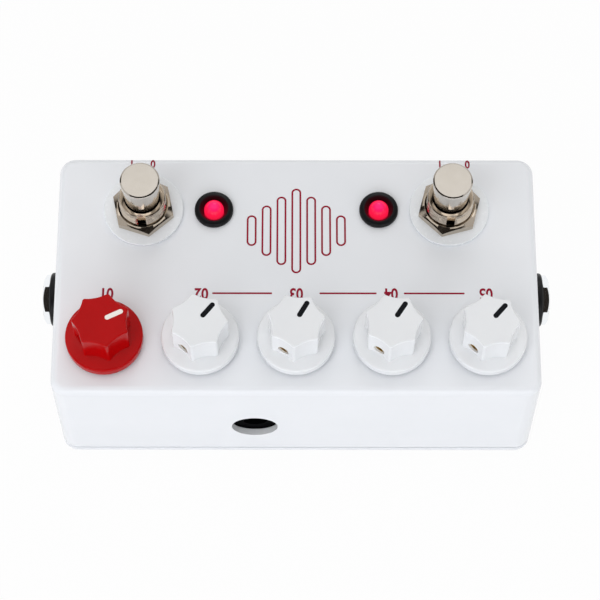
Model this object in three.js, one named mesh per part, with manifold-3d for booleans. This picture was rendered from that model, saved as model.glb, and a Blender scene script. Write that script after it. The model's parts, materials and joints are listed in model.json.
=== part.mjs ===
// A delay effects pedal: a die-cast box on a screwed base plate, five knobs on
// board-mounted potentiometers, two footswitches, two indicator lamps, two side
// jacks and a power socket behind the knob-side wall.
//
// Millimetres, +Z up. The origin is the centre of the base plate's underside.
// +X runs along the box's length. The knobs and the power inlet are on the -Y side,
// and the footswitches are on the +Y side, where the player stands.

import * as THREE from 'three';
import { mergeVertices } from 'three/addons/utils/BufferGeometryUtils.js';
import Module from 'manifold-3d';

const wasm = await Module();
wasm.setup();

// Box: its walls lean in towards the top by the drafts, which are per wall.
const box = {
  length: 121.1,
  depth: 66,
  height: 39.3,
  lengthDraft: 0.2,
  depthDraft: 0.8,
  cornerRadius: 4,
  leastRadius: 0.4,
  edgeRadius: 2,
  wall: 1.8,
  panel: 2.2,
};

// Base plate, with a lip that locates it inside the box's walls.
const plate = {
  thickness: 2,
  edgeBreak: 0.35,
  lipHeight: 1.6,
  lipWall: 1.4,
  lipGap: 0.3,
};

// Corner posts inside the box, which take the base plate's screws.
const post = {
  inset: 5,
  radius: 3.8,
  holeDepth: 13,
};

// Countersunk base plate screws.
const baseScrew = {
  shankRadius: 1.6,
  headRadius: 3,
  headRim: 0.25,
  headDepth: 1.5,
  length: 12,
  pointLength: 1.2,
  gap: 0.25,
  slotLength: 3.6,
  slotWidth: 0.8,
  slotDepth: 0.9,
};

// Row of controls along the -Y side, spread over the box's length, and where each
// pointer stands, in degrees anticlockwise from +X, at rest.
const row = {
  pitchShare: 0.1949,
  frontInset: 14.8,
};
const pointerAngles = [26, 51, 60, 57, 49];

// Knob: a seven-fluted grip on a round skirt.
const knob = {
  flutes: 7,
  height: 12,
  gripRadius: 7.4,
  fluteDepth: 0.45,
  gripEdge: 0.35,
  skirtRadius: 9.6,
  rimHeight: 1.9,
  rimRound: 0.55,
  slopeTop: 3.8,
  recessRadius: 6.6,
  recessDepth: 2,
  pointerWidth: 1.3,
  pointerStart: 1.7,
  pointerEnd: 5.2,
  pointerDepth: 0.3,
  footRound: 0.3,
};

// Brass insert moulded into the knob, and the set screw that grips the shaft.
// The insert runs clear of the bushing, and ends level with the shaft.
const insert = {
  radius: 4.2,
  mouldGap: 0.25,
  runGap: 0.3,
  boreGap: 0.2,
  mouthBreak: 0.4,
};
const setScrew = {
  radius: 1.2,
  length: 1.7,
  gap: 0.2,
  height: 5.6,
  holeRadius: 1.5,
  socketRadius: 0.6,
  socketDepth: 0.7,
};

// Potentiometer with a threaded bushing, a nut and bracket legs to the board.
const pot = {
  width: 9.7,
  depth: 11.3,
  height: 6.8,
  cornerBreak: 0.8,
  bushingRadius: 3.5,
  bushingLength: 4.85,
  neckRadius: 2.4,
  neckGap: 0.3,
  neckDepth: 1.5,
  shaftRadius: 3.175,
  shaftLift: 0.4,
  shaftLength: 7.4,
  shaftBreak: 0.4,
  legLength: 5.45,
  legWidth: 2.6,
  legThickness: 0.9,
  pinSide: 0.8,
  pinPitch: 2.5,
  nutFlats: 10,
  nutHeight: 2.2,
  nutGap: 0.25,
};

// Footswitch: nickel-plated cap, slotted bushing, hex nut and nylon washer.
const footswitch = {
  endInset: 22,
  backInset: 15.8,
  capRadius: 4.95,
  capFootRadius: 4.3,
  capEdge: 0.4,
  capRise: 17.3,
  buttonLength: 23.65,
  travel: 2.4,
  endRoom: 0.6,
  boreRadius: 4.6,
  boreBreak: 0.9,
  boreSlope: 0.45,
  bushingRadius: 5.9,
  bushingRise: 8.1,
  bushingBreak: 0.35,
  holeGap: 0.3,
  keyWidth: 2.1,
  keyDepth: 0.8,
  frameSide: 17.2,
  frameHeight: 1.2,
  housingSide: 16.8,
  housingHeight: 12.8,
  housingBreak: 0.45,
  lugPitch: 5,
  lugWidth: 2.2,
  lugThickness: 0.7,
  lugLength: 4,
  lugRoot: 1,
};
const footNut = {
  flats: 14,
  height: 2.4,
  gap: 0.25,
  faceInset: 0.6,
  cornerDrop: 0.95,
};
const footWasher = {
  radius: 10.05,
  height: 1.2,
  gap: 0.3,
  edgeBreak: 0.3,
};
const nutAngles = { left: 11.5, right: 45.6 };

// Indicator lamp: a red 5 mm diode in a black bezel, inward of each footswitch.
const lamp = {
  switchPitch: 17.75,
  flangeRadius: 4.9,
  flangeRim: 0.6,
  flangeHeight: 1.6,
  flangeRound: 0.9,
  barrelRadius: 3.85,
  barrelLength: 7,
  barrelGap: 0.2,
  boreRadius: 2.8,
  boreBreak: 0.8,
  boreSlope: 1.3,
  lensRadius: 2.5,
  lensRise: 0.3,
  lensLength: 5.4,
  leadSide: 0.5,
  leadPitch: 2.54,
};

// Quarter-inch jack with a black spacer and a hex nut outside the wall. It lies
// under the board, just in front of the footswitch housings.
const jack = {
  switchGap: 0.35,
  boardGap: 0.45,
  bodyWidth: 12.4,
  bodyHeight: 11.6,
  bodyLength: 23,
  bodyBreak: 0.8,
  bodyGap: 0.15,
  threadRadius: 4.5,
  threadEnd: 6.45,
  holeGap: 0.3,
  boreRadius: 3.3,
  boreBreak: 0.4,
  backWall: 2,
  spacerRadius: 6.95,
  spacerHeight: 2.85,
  spacerBreak: 0.7,
  spacerGap: 0.2,
  nutFlats: 11.1,
  nutHeight: 1.6,
  nutTurn: 23,
  stackGap: 0.1,
  tagWidth: 2.4,
  tagThickness: 0.8,
  tagLength: 3.5,
  tagPitch: 4.6,
};

// Power socket on the board's underside, behind a plain round hole.
const inlet = {
  x: -10.45,
  holeRadius: 5.8,
  width: 9,
  length: 13.5,
  axisDrop: 6.5,
  skirtBelow: 4.5,
  cornerBreak: 0.5,
  wallGap: 1.6,
  boreRadius: 3.1,
  boreDepth: 9.5,
  pinRadius: 1,
  pinSetback: 1.2,
};

// Circuit board, which fills the box from wall to wall in front of the footswitch
// housings and between them, with the larger components that hang under it.
const board = {
  thickness: 1.6,
  wallGap: 1.5,
  switchGap: 1.8,
  postGap: 0.6,
  edgeGap: 2,
  chipLength: 19.3,
  chipWidth: 6.6,
  chipHeight: 3.4,
  chipPitch: 11,
  chipGap: 2,
  canRadius: 3.15,
  canHeight: 8,
  canPitch: 9,
  canInset: 8.2,
};

// Cuts run past the faces that they open by this much.
const overrun = 2;

const steps = { round: 24, hole: 18, small: 10, corner: 4, flute: 4, edge: 3, rim: 2 };

const half = (size) => size / 2;
const radians = THREE.MathUtils.degToRad;
const mirrored = [-1, 1];
const quarter = Math.PI / 2;

// The drafted walls' half sizes at a height above the ground.
const leanAt = (z, draft) => draft * (z / box.height);
const halfLengthAt = (z) => half(box.length) - leanAt(z, box.lengthDraft);
const halfDepthAt = (z) => half(box.depth) - leanAt(z, box.depthDraft);

// Heights that pieces share.
const panelTop = box.height;
const panelUnder = panelTop - box.panel;
const bushingTop = panelUnder + pot.bushingLength;
const shaftTop = bushingTop + pot.shaftLift + pot.shaftLength;
const insertFoot = knob.recessDepth + insert.mouldGap;
const knobFoot = bushingTop + insert.runGap - insertFoot;
const frameBottom = panelUnder - footswitch.frameHeight;
const boardTop = panelUnder - pot.height - pot.legLength;
const boardBottom = boardTop - board.thickness;
const inletZ = boardBottom - inlet.axisDrop;
const jackZ = boardBottom - jack.boardGap - half(jack.bodyHeight);

// Places in plan that pieces share.
const rowY = row.frontInset - half(box.depth);
const rowPitch = row.pitchShare * box.length;
const knobX = (place) => (place - half(pointerAngles.length - 1)) * rowPitch;
const footX = half(box.length) - footswitch.endInset;
const footY = half(box.depth) - footswitch.backInset;
const lampX = footX - lamp.switchPitch;
const switchFront = footY - half(footswitch.housingSide);
const jackY = switchFront - jack.switchGap - half(jack.bodyWidth);

// A closed geometry as a solid that can be joined and cut.
function solid(geometry) {
  const bare = geometry.clone();
  bare.deleteAttribute('normal');
  bare.deleteAttribute('uv');
  const merged = mergeVertices(bare);
  const corners = merged.index.array;
  const triangles = [];
  for (let at = 0; at < corners.length; at += 3) {
    const [a, b, c] = [corners[at], corners[at + 1], corners[at + 2]];
    if (a !== b && b !== c && c !== a) {
      triangles.push(a, b, c);
    }
  }
  return new wasm.Manifold(new wasm.Mesh({
    numProp: 3,
    vertProperties: new Float32Array(merged.attributes.position.array),
    triVerts: new Uint32Array(triangles),
  }));
}

// A solid of revolution about Z, from [radius, z] points that run up its outside.
function turned(profile, segments) {
  const points = profile.map(([radius, z]) => new THREE.Vector2(radius, z));
  return solid(new THREE.LatheGeometry(points, segments).rotateX(quarter));
}

// A round bar about Z between two heights.
function bar(radius, bottom, top, segments = steps.hole) {
  const geometry = new THREE.CylinderGeometry(radius, radius, top - bottom, segments);
  return solid(geometry.rotateX(quarter).translate(0, 0, half(bottom + top)));
}

// A box from its centre in plan, its plan size and its two heights.
function block(x, y, width, depth, bottom, top) {
  const geometry = new THREE.BoxGeometry(width, depth, top - bottom);
  return solid(geometry.translate(x, y, half(bottom + top)));
}

// One rounded rectangle of a loft, corner by corner.
function level({ z, width, depth, radius }) {
  const points = [];
  for (let corner = 0; corner < 4; corner += 1) {
    const middle = quarter * corner + half(quarter);
    const x = Math.sign(Math.cos(middle)) * (half(width) - radius);
    const y = Math.sign(Math.sin(middle)) * (half(depth) - radius);
    for (let step = 0; step <= steps.corner; step += 1) {
      const angle = quarter * (corner + step / steps.corner);
      points.push([x + radius * Math.cos(angle), y + radius * Math.sin(angle), z]);
    }
  }
  return points;
}

// A closed loft through rounded rectangles, listed from the bottom up.
function lofted(levels) {
  const rings = levels.map(level);
  const count = rings[0].length;
  const last = rings.length - 1;
  const floor = count * rings.length;
  const roof = floor + 1;
  const positions = rings.flat(2);
  positions.push(0, 0, levels[0].z, 0, 0, levels[last].z);
  const index = [];
  for (let side = 0; side < count; side += 1) {
    const next = (side + 1) % count;
    index.push(floor, next, side, roof, last * count + side, last * count + next);
    for (let ring = 0; ring < last; ring += 1) {
      const [low, high] = [ring * count, (ring + 1) * count];
      index.push(low + side, low + next, high + next, low + side, high + next, high + side);
    }
  }
  const geometry = new THREE.BufferGeometry();
  geometry.setAttribute('position', new THREE.Float32BufferAttribute(positions, 3));
  geometry.setIndex(index);
  return solid(geometry);
}

// A box with rounded or broken upright edges.
function housing(width, depth, bottom, top, radius) {
  return lofted([
    { z: bottom, width, depth, radius },
    { z: top, width, depth, radius },
  ]);
}

// A flat outline pulled straight up between two heights.
function pulled(outline, bottom, top) {
  const options = { depth: top - bottom, bevelEnabled: false, curveSegments: steps.corner };
  return solid(new THREE.ExtrudeGeometry(outline, options).translate(0, 0, bottom));
}

const joined = (solids) => solids.reduce((whole, next) => whole.add(next));
const cut = (whole, solids) => solids.reduce((rest, next) => rest.subtract(next), whole);

// The same solid with its Z axis laid along another direction, at a place.
function laid(shape, direction, place) {
  const turn = new THREE.Quaternion().setFromUnitVectors(new THREE.Vector3(0, 0, 1), direction);
  const matrix = new THREE.Matrix4().compose(place, turn, new THREE.Vector3(1, 1, 1));
  return solid(toGeometry(shape).applyMatrix4(matrix));
}

function moved(shape, x, y, z = 0) {
  return solid(toGeometry(shape).translate(x, y, z));
}

function toGeometry(shape) {
  const { vertProperties, triVerts } = shape.getMesh();
  const geometry = new THREE.BufferGeometry();
  geometry.setAttribute('position', new THREE.BufferAttribute(new Float32Array(vertProperties), 3));
  geometry.setIndex(new THREE.BufferAttribute(new Uint32Array(triVerts), 1));
  geometry.computeVertexNormals();
  return geometry;
}

function piece(name, shape, finish) {
  const mesh = new THREE.Mesh(toGeometry(shape), finish());
  mesh.name = name;
  return mesh;
}

// A hex nut whose top corners are turned off by a cone.
function hexNut({ flats, height, boreRadius, faceInset, cornerDrop, segments }) {
  const cornerRadius = half(flats) / Math.cos(Math.PI / 6);
  const prism = bar(cornerRadius, 0, height, 6);
  const cone = turned([
    [0, 0],
    [cornerRadius, 0],
    [cornerRadius, height - cornerDrop],
    [half(flats) - faceInset, height],
    [0, height],
  ], segments);
  const bore = bar(boreRadius, -overrun, height + overrun, segments);
  return prism.intersect(cone).subtract(bore);
}

// Finishes

const finish = (color, roughness, metalness) => () =>
  new THREE.MeshStandardMaterial({ color, roughness, metalness });
const whitePaint = finish(0xeceef0, 0.25, 0);
const whitePlastic = finish(0xf0f1ef, 0.3, 0);
const redPlastic = finish(0xc81e26, 0.3, 0);
const nickelPlate = finish(0xc3bfb8, 0.25, 1);
const brass = finish(0xb5985a, 0.35, 1);
const blackPlastic = finish(0x161617, 0.5, 0);
const nylon = finish(0xdfe3e4, 0.45, 0);
const redLens = finish(0xe0203c, 0.15, 0);
const zincSteel = finish(0xa9adb0, 0.4, 1);
const boardGreen = finish(0x1f4a36, 0.55, 0);

// Box

const postX = half(box.length) - post.inset;
const postY = half(box.depth) - post.inset;

function boxLevel(z, inset) {
  return {
    z,
    width: 2 * (halfLengthAt(z) - inset),
    depth: 2 * (halfDepthAt(z) - inset),
    radius: Math.max(box.cornerRadius - inset, box.leastRadius),
  };
}

// The outside, whose top edge is rounded over in a few steps.
function boxOutside() {
  const levels = [boxLevel(plate.thickness, 0)];
  for (let step = 0; step <= steps.edge; step += 1) {
    const angle = quarter * (step / steps.edge);
    const inset = box.edgeRadius * (1 - Math.cos(angle));
    levels.push(boxLevel(box.height - box.edgeRadius * (1 - Math.sin(angle)), inset));
  }
  return lofted(levels);
}

const postCentres = mirrored.flatMap((sideX) => mirrored.map((sideY) => [sideX * postX, sideY * postY]));

function boxCavity() {
  const hollow = lofted([
    boxLevel(plate.thickness - overrun, box.wall),
    boxLevel(panelUnder, box.wall),
  ]);
  const posts = postCentres.map(([x, y]) =>
    moved(bar(post.radius, -overrun, box.height), x, y));
  return cut(hollow, posts);
}

function screwHoles() {
  const radius = baseScrew.shankRadius + baseScrew.gap;
  const top = plate.thickness + post.holeDepth;
  return postCentres.map(([x, y]) => moved(bar(radius, -overrun, top, steps.small), x, y));
}

// Holes through the top panel for the pots, lamps and footswitches.
function panelHoles() {
  const bottom = panelUnder - overrun;
  const top = panelTop + overrun;
  const potHole = bar(pot.bushingRadius + pot.nutGap, bottom, top);
  const lampHole = bar(lamp.barrelRadius + lamp.barrelGap, bottom, top);
  const footHole = bar(footswitch.bushingRadius + footswitch.holeGap, bottom, top);
  return [
    ...pointerAngles.map((angle, place) => moved(potHole, knobX(place), rowY)),
    ...mirrored.map((side) => moved(lampHole, side * lampX, footY)),
    ...mirrored.map((side) => moved(footHole, side * footX, footY)),
  ];
}

function wallHoles() {
  const reach = half(box.length) + overrun;
  const jackHole = bar(jack.threadRadius + jack.holeGap, -reach, reach);
  const inletHole = bar(inlet.holeRadius, 0, half(box.depth) + overrun);
  return [
    laid(jackHole, new THREE.Vector3(1, 0, 0), new THREE.Vector3(0, jackY, jackZ)),
    laid(inletHole, new THREE.Vector3(0, -1, 0), new THREE.Vector3(inlet.x, 0, inletZ)),
  ];
}

function enclosure() {
  const cuts = [boxCavity(), ...screwHoles(), ...panelHoles(), ...wallHoles()];
  return piece('enclosure', cut(boxOutside(), cuts), whitePaint);
}

// Base plate and its screws

function plateLevel(z, inset) {
  return {
    z,
    width: box.length - 2 * inset,
    depth: box.depth - 2 * inset,
    radius: Math.max(box.cornerRadius - inset, box.leastRadius),
  };
}

function plateLip() {
  const inset = box.wall + plate.lipGap;
  const top = plate.thickness + plate.lipHeight;
  const outer = lofted([plateLevel(half(plate.thickness), inset), boxLevel(top, inset)]);
  const inner = lofted([
    plateLevel(0, inset + plate.lipWall),
    boxLevel(top + overrun, inset + plate.lipWall),
  ]);
  const posts = postCentres.map(([x, y]) =>
    moved(bar(post.radius + plate.lipGap, plate.thickness, top + overrun), x, y));
  return cut(outer, [inner, ...posts]);
}

// A countersink and clearance hole, which follow the screw's own shape.
function plateHole() {
  const headRadius = baseScrew.headRadius + baseScrew.gap;
  const shankRadius = baseScrew.shankRadius + baseScrew.gap;
  return turned([
    [0, -overrun],
    [headRadius, -overrun],
    [headRadius, baseScrew.headRim + baseScrew.gap],
    [shankRadius, baseScrew.headDepth + baseScrew.gap],
    [shankRadius, plate.thickness + overrun],
    [0, plate.thickness + overrun],
  ], steps.small);
}

function basePlate() {
  const slab = lofted([
    plateLevel(0, plate.edgeBreak),
    plateLevel(plate.edgeBreak, 0),
    plateLevel(plate.thickness - plate.edgeBreak, 0),
    plateLevel(plate.thickness, plate.edgeBreak),
  ]);
  const holes = postCentres.map(([x, y]) => moved(plateHole(), x, y));
  return piece('base_plate', cut(slab.add(plateLip()), holes), whitePaint);
}

function baseScrewShape() {
  const foot = half(baseScrew.gap);
  const tip = foot + baseScrew.length;
  const shank = turned([
    [0, foot],
    [baseScrew.headRadius, foot],
    [baseScrew.headRadius, foot + baseScrew.headRim],
    [baseScrew.shankRadius, foot + baseScrew.headDepth],
    [baseScrew.shankRadius, tip - baseScrew.pointLength],
    [half(baseScrew.shankRadius), tip],
    [0, tip],
  ], steps.small);
  const slotTop = foot + baseScrew.slotDepth;
  const { slotLength, slotWidth } = baseScrew;
  return cut(shank, [
    block(0, 0, slotLength, slotWidth, -overrun, slotTop),
    block(0, 0, slotWidth, slotLength, -overrun, slotTop),
  ]);
}

function baseScrews() {
  return postCentres.map(([x, y], count) => {
    const screw = piece(`base_screw_${count + 1}`, baseScrewShape(), zincSteel);
    screw.position.set(x, y, 0);
    return screw;
  });
}

// Knobs: heights in these functions are above the knob's own foot.

// The grip's outline: points on a circle, joined by hollow arcs.
function gripOutline() {
  const halfStep = Math.PI / knob.flutes;
  const halfChord = knob.gripRadius * Math.sin(halfStep);
  const fluteRadius = (halfChord ** 2 + knob.fluteDepth ** 2) / (2 * knob.fluteDepth);
  const sweep = Math.asin(halfChord / fluteRadius);
  const reach = knob.gripRadius * Math.cos(halfStep) - knob.fluteDepth + fluteRadius;
  const points = [];
  for (let flute = 0; flute < knob.flutes; flute += 1) {
    const middle = halfStep * (2 * flute + 1);
    for (let step = 0; step < steps.flute; step += 1) {
      const angle = middle + Math.PI + sweep * (1 - 2 * (step / steps.flute));
      points.push(new THREE.Vector2(
        reach * Math.cos(middle) + fluteRadius * Math.cos(angle),
        reach * Math.sin(middle) + fluteRadius * Math.sin(angle),
      ));
    }
  }
  return new THREE.Shape(points);
}

function knobGrip() {
  const bottom = knob.recessDepth;
  const geometry = new THREE.ExtrudeGeometry(gripOutline(), {
    depth: knob.height - bottom - knob.gripEdge,
    bevelThickness: knob.gripEdge,
    bevelSize: knob.gripEdge,
    bevelOffset: -knob.gripEdge,
    bevelSegments: 1,
    curveSegments: steps.flute,
  });
  return solid(geometry.translate(0, 0, bottom));
}

function knobSkirt() {
  const { skirtRadius, footRound, rimHeight, rimRound, gripRadius, slopeTop } = knob;
  const rim = [];
  for (let step = 0; step <= steps.rim; step += 1) {
    const angle = quarter * (step / steps.rim);
    rim.push([skirtRadius - rimRound * (1 - Math.cos(angle)), rimHeight + rimRound * Math.sin(angle)]);
  }
  return turned([
    [0, 0],
    [skirtRadius - footRound, 0],
    [skirtRadius, footRound],
    ...rim,
    [gripRadius, slopeTop],
    [half(gripRadius), slopeTop + half(knob.fluteDepth)],
    [0, slopeTop + half(knob.fluteDepth)],
  ], steps.round);
}

// The pointer's groove, a slot with round ends along +X.
function pointerGroove() {
  const radius = half(knob.pointerWidth);
  const slot = new THREE.Shape();
  slot.absarc(knob.pointerEnd, 0, radius, -quarter, quarter);
  slot.absarc(knob.pointerStart, 0, radius, quarter, 3 * quarter);
  return pulled(slot, knob.height - knob.pointerDepth, knob.height + overrun);
}

const insertTop = shaftTop - knobFoot;
const towardsScrew = new THREE.Vector3(-1, 0, 0);
const onScrewAxis = new THREE.Vector3(0, 0, setScrew.height);

function knobShape() {
  const screwHole = bar(setScrew.holeRadius, 0, knob.skirtRadius, steps.small);
  return cut(knobSkirt().add(knobGrip()), [
    bar(knob.recessRadius, -overrun, knob.recessDepth),
    bar(insert.radius + insert.mouldGap, 0, insertTop + insert.mouldGap, steps.small),
    laid(screwHole, towardsScrew, onScrewAxis),
    pointerGroove(),
  ]);
}

function insertShape() {
  const bore = pot.shaftRadius + insert.boreGap;
  const sleeve = turned([
    [bore + insert.mouthBreak, insertFoot],
    [insert.radius, insertFoot],
    [insert.radius, insertTop],
    [bore, insertTop],
    [bore, insertFoot + insert.mouthBreak],
    [bore + insert.mouthBreak, insertFoot],
  ], steps.small);
  const thread = bar(setScrew.radius + setScrew.gap, 0, knob.skirtRadius, steps.small);
  return sleeve.subtract(laid(thread, towardsScrew, onScrewAxis));
}

function setScrewShape() {
  const start = pot.shaftRadius + setScrew.gap;
  const end = start + setScrew.length;
  const { radius, socketRadius, socketDepth } = setScrew;
  const screw = bar(radius, start, end, steps.small);
  const socket = bar(socketRadius, end - socketDepth, end + overrun, 6);
  return laid(screw.subtract(socket), towardsScrew, onScrewAxis);
}

// Potentiometers: heights in these functions are in the part's own frame.

function shaftShape() {
  const shoulder = bushingTop + pot.shaftLift;
  return turned([
    [0, panelUnder - pot.neckDepth],
    [pot.neckRadius, panelUnder - pot.neckDepth],
    [pot.neckRadius, shoulder],
    [pot.shaftRadius, shoulder],
    [pot.shaftRadius, shaftTop - pot.shaftBreak],
    [pot.shaftRadius - pot.shaftBreak, shaftTop],
    [0, shaftTop],
  ], steps.small);
}

// The housing's two bracket legs and three pins reach down to the board.
function potFeet() {
  const top = panelUnder - half(pot.height);
  const legX = half(pot.width - pot.legThickness);
  const pinY = half(pot.depth) - pot.pinSide;
  const legs = mirrored.map((side) =>
    block(side * legX, 0, pot.legThickness, pot.legWidth, boardTop, top));
  const pins = [-1, 0, 1].map((place) =>
    block(place * pot.pinPitch, pinY, pot.pinSide, pot.pinSide, boardTop, top));
  return [...legs, ...pins];
}

function potShape() {
  const bottom = panelUnder - pot.height;
  const can = housing(pot.width, pot.depth, bottom, panelUnder, pot.cornerBreak);
  const bushing = bar(pot.bushingRadius, bottom, bushingTop, steps.small);
  const well = panelUnder - pot.neckDepth - pot.neckGap;
  const bore = bar(pot.neckRadius + pot.neckGap, well, bushingTop + overrun, steps.small);
  return joined([can, bushing, ...potFeet()]).subtract(bore);
}

function potNutShape() {
  return hexNut({
    flats: pot.nutFlats,
    height: pot.nutHeight,
    boreRadius: pot.bushingRadius + pot.nutGap,
    faceInset: pot.nutGap,
    cornerDrop: pot.nutGap,
    segments: steps.small,
  });
}

// One control: the dial turns with the shaft, and the rest stays with the box.
function control(place) {
  const label = place + 1;
  const dial = new THREE.Group();
  dial.rotation.z = radians(pointerAngles[place]);
  const cap = new THREE.Group();
  cap.position.z = knobFoot;
  cap.add(
    piece(`knob_${label}`, knobShape(), place === 0 ? redPlastic : whitePlastic),
    piece(`knob_insert_${label}`, insertShape(), brass),
    piece(`knob_set_screw_${label}`, setScrewShape(), brass),
  );
  dial.add(cap, piece(`pot_shaft_${label}`, shaftShape(), nickelPlate));
  const nut = piece(`pot_nut_${label}`, potNutShape(), nickelPlate);
  nut.position.z = panelTop;
  const group = new THREE.Group();
  group.position.set(knobX(place), rowY, 0);
  group.add(dial, piece(`pot_body_${label}`, potShape(), zincSteel), nut);
  return group;
}

// Footswitches

const capTop = panelTop + footswitch.capRise;
const stemFoot = capTop - footswitch.buttonLength;

function buttonShape() {
  const { capRadius, capFootRadius, capEdge } = footswitch;
  return turned([
    [0, stemFoot],
    [capFootRadius, stemFoot],
    [capFootRadius, panelTop + footswitch.bushingRise],
    [capRadius, capTop - capEdge],
    [capRadius - capEdge, capTop],
    [0, capTop],
  ], steps.round);
}

function bushingShape() {
  const { bushingRadius, bushingBreak, boreRadius, boreBreak, boreSlope, frameSide } = footswitch;
  const top = panelTop + footswitch.bushingRise;
  const frame = housing(frameSide, frameSide, frameBottom, panelUnder, bushingBreak);
  const barrel = turned([
    [0, frameBottom],
    [bushingRadius, frameBottom],
    [bushingRadius, top - bushingBreak],
    [bushingRadius - bushingBreak, top],
    [0, top],
  ], steps.round);
  const bore = turned([
    [0, frameBottom - overrun],
    [boreRadius, frameBottom - overrun],
    [boreRadius, top - boreSlope],
    [boreRadius + boreBreak, top],
    [boreRadius + boreBreak, top + overrun],
    [0, top + overrun],
  ], steps.round);
  const keyDepth = footswitch.keyDepth + overrun;
  const keyY = half(keyDepth) - bushingRadius - overrun;
  const keyway = block(0, keyY, footswitch.keyWidth, keyDepth, panelUnder, top + overrun);
  return frame.add(barrel).subtract(bore).subtract(keyway);
}

function switchHousingShape() {
  const { housingSide, lugPitch, lugWidth, lugThickness } = footswitch;
  const bottom = frameBottom - footswitch.housingHeight;
  const body = housing(housingSide, housingSide, bottom, frameBottom, footswitch.housingBreak);
  const [lugBottom, lugTop] = [bottom - footswitch.lugLength, bottom + footswitch.lugRoot];
  const grid = [-1, 0, 1];
  const lugs = grid.flatMap((column) => grid.map((line) =>
    block(column * lugPitch, line * lugPitch, lugWidth, lugThickness, lugBottom, lugTop)));
  const wellBottom = stemFoot - footswitch.travel - footswitch.endRoom;
  const well = bar(footswitch.boreRadius, wellBottom, frameBottom + overrun);
  return joined([body, ...lugs]).subtract(well);
}

function footWasherShape() {
  const { radius, height, edgeBreak } = footWasher;
  const bore = footswitch.bushingRadius + footWasher.gap;
  return turned([
    [bore, 0],
    [radius, 0],
    [radius, height - edgeBreak],
    [radius - edgeBreak, height],
    [bore, height],
    [bore, 0],
  ], steps.round);
}

function footNutShape() {
  return hexNut({
    flats: footNut.flats,
    height: footNut.height,
    boreRadius: footswitch.bushingRadius + footNut.gap,
    faceInset: footNut.faceInset,
    cornerDrop: footNut.cornerDrop,
    segments: steps.round,
  });
}

function footswitchGroup(side, label) {
  const washer = piece(`footswitch_washer_${label}`, footWasherShape(), nylon);
  washer.position.z = panelTop;
  const nut = piece(`footswitch_nut_${label}`, footNutShape(), nickelPlate);
  nut.position.z = panelTop + footWasher.height;
  nut.rotation.z = radians(nutAngles[label]);
  const group = new THREE.Group();
  group.position.set(side * footX, footY, 0);
  group.add(
    piece(`footswitch_button_${label}`, buttonShape(), nickelPlate),
    piece(`footswitch_bushing_${label}`, bushingShape(), nickelPlate),
    piece(`footswitch_housing_${label}`, switchHousingShape(), blackPlastic),
    washer,
    nut,
  );
  return group;
}

// Indicator lamps: heights in these functions are above the panel.

function bezelShape() {
  const { flangeRadius, flangeRim, flangeHeight, flangeRound } = lamp;
  const { boreRadius, boreBreak, boreSlope } = lamp;
  return turned([
    [boreRadius, -lamp.barrelLength],
    [lamp.barrelRadius, -lamp.barrelLength],
    [lamp.barrelRadius, 0],
    [flangeRadius, 0],
    [flangeRadius, flangeRim],
    [flangeRadius - half(flangeRound), flangeHeight - half(flangeRound - flangeRim)],
    [flangeRadius - flangeRound, flangeHeight],
    [boreRadius + boreBreak, flangeHeight],
    [boreRadius, flangeHeight - boreSlope],
    [boreRadius, -lamp.barrelLength],
  ], steps.hole);
}

function diodeShape() {
  const { lensRadius, lensRise, lensLength } = lamp;
  const bottom = lensRise - lensLength;
  const dome = [];
  for (let step = 0; step < steps.flute; step += 1) {
    const angle = quarter * (step / steps.flute);
    dome.push([lensRadius * Math.cos(angle), lensRise + lensRadius * Math.sin(angle)]);
  }
  const profile = [[0, bottom], [lensRadius, bottom], ...dome, [0, lensRise + lensRadius]];
  const lens = turned(profile, steps.small);
  const leads = mirrored.map((side) =>
    block(side * half(lamp.leadPitch), 0, lamp.leadSide, lamp.leadSide, boardTop - panelTop, lensRise));
  return joined([lens, ...leads]);
}

function lampGroup(side, label) {
  const group = new THREE.Group();
  group.position.set(side * lampX, footY, panelTop);
  group.add(
    piece(`lamp_bezel_${label}`, bezelShape(), blackPlastic),
    piece(`lamp_${label}`, diodeShape(), redLens),
  );
  return group;
}

// Jacks: in these functions +Z points out of the box, from the wall's inner face.

function jackBodyShape() {
  const { bodyWidth, bodyHeight, bodyLength, bodyBreak, bodyGap, threadRadius, threadEnd } = jack;
  const { boreRadius, boreBreak } = jack;
  const body = housing(bodyHeight, bodyWidth, -bodyLength, -bodyGap, bodyBreak);
  const thread = bar(threadRadius, -overrun, threadEnd);
  const bore = turned([
    [0, jack.backWall - bodyLength],
    [boreRadius, jack.backWall - bodyLength],
    [boreRadius, threadEnd - boreBreak],
    [boreRadius + boreBreak, threadEnd],
    [boreRadius + boreBreak, threadEnd + overrun],
    [0, threadEnd + overrun],
  ], steps.hole);
  const tags = [-1, 0, 1].map((place) => block(
    0,
    place * jack.tagPitch,
    jack.tagThickness,
    jack.tagWidth,
    -bodyLength - jack.tagLength,
    half(jack.backWall) - bodyLength,
  ));
  return joined([body, thread, ...tags]).subtract(bore);
}

function jackSpacerShape() {
  const { spacerRadius, spacerHeight, spacerBreak } = jack;
  const bore = jack.threadRadius + jack.spacerGap;
  return turned([
    [bore, 0],
    [spacerRadius, 0],
    [spacerRadius, spacerHeight - spacerBreak],
    [spacerRadius - spacerBreak, spacerHeight],
    [bore, spacerHeight],
    [bore, 0],
  ], steps.round);
}

function jackNutShape() {
  return hexNut({
    flats: jack.nutFlats,
    height: jack.nutHeight,
    boreRadius: jack.threadRadius + jack.spacerGap,
    faceInset: half(jack.boreBreak),
    cornerDrop: jack.boreBreak,
    segments: steps.hole,
  });
}

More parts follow.
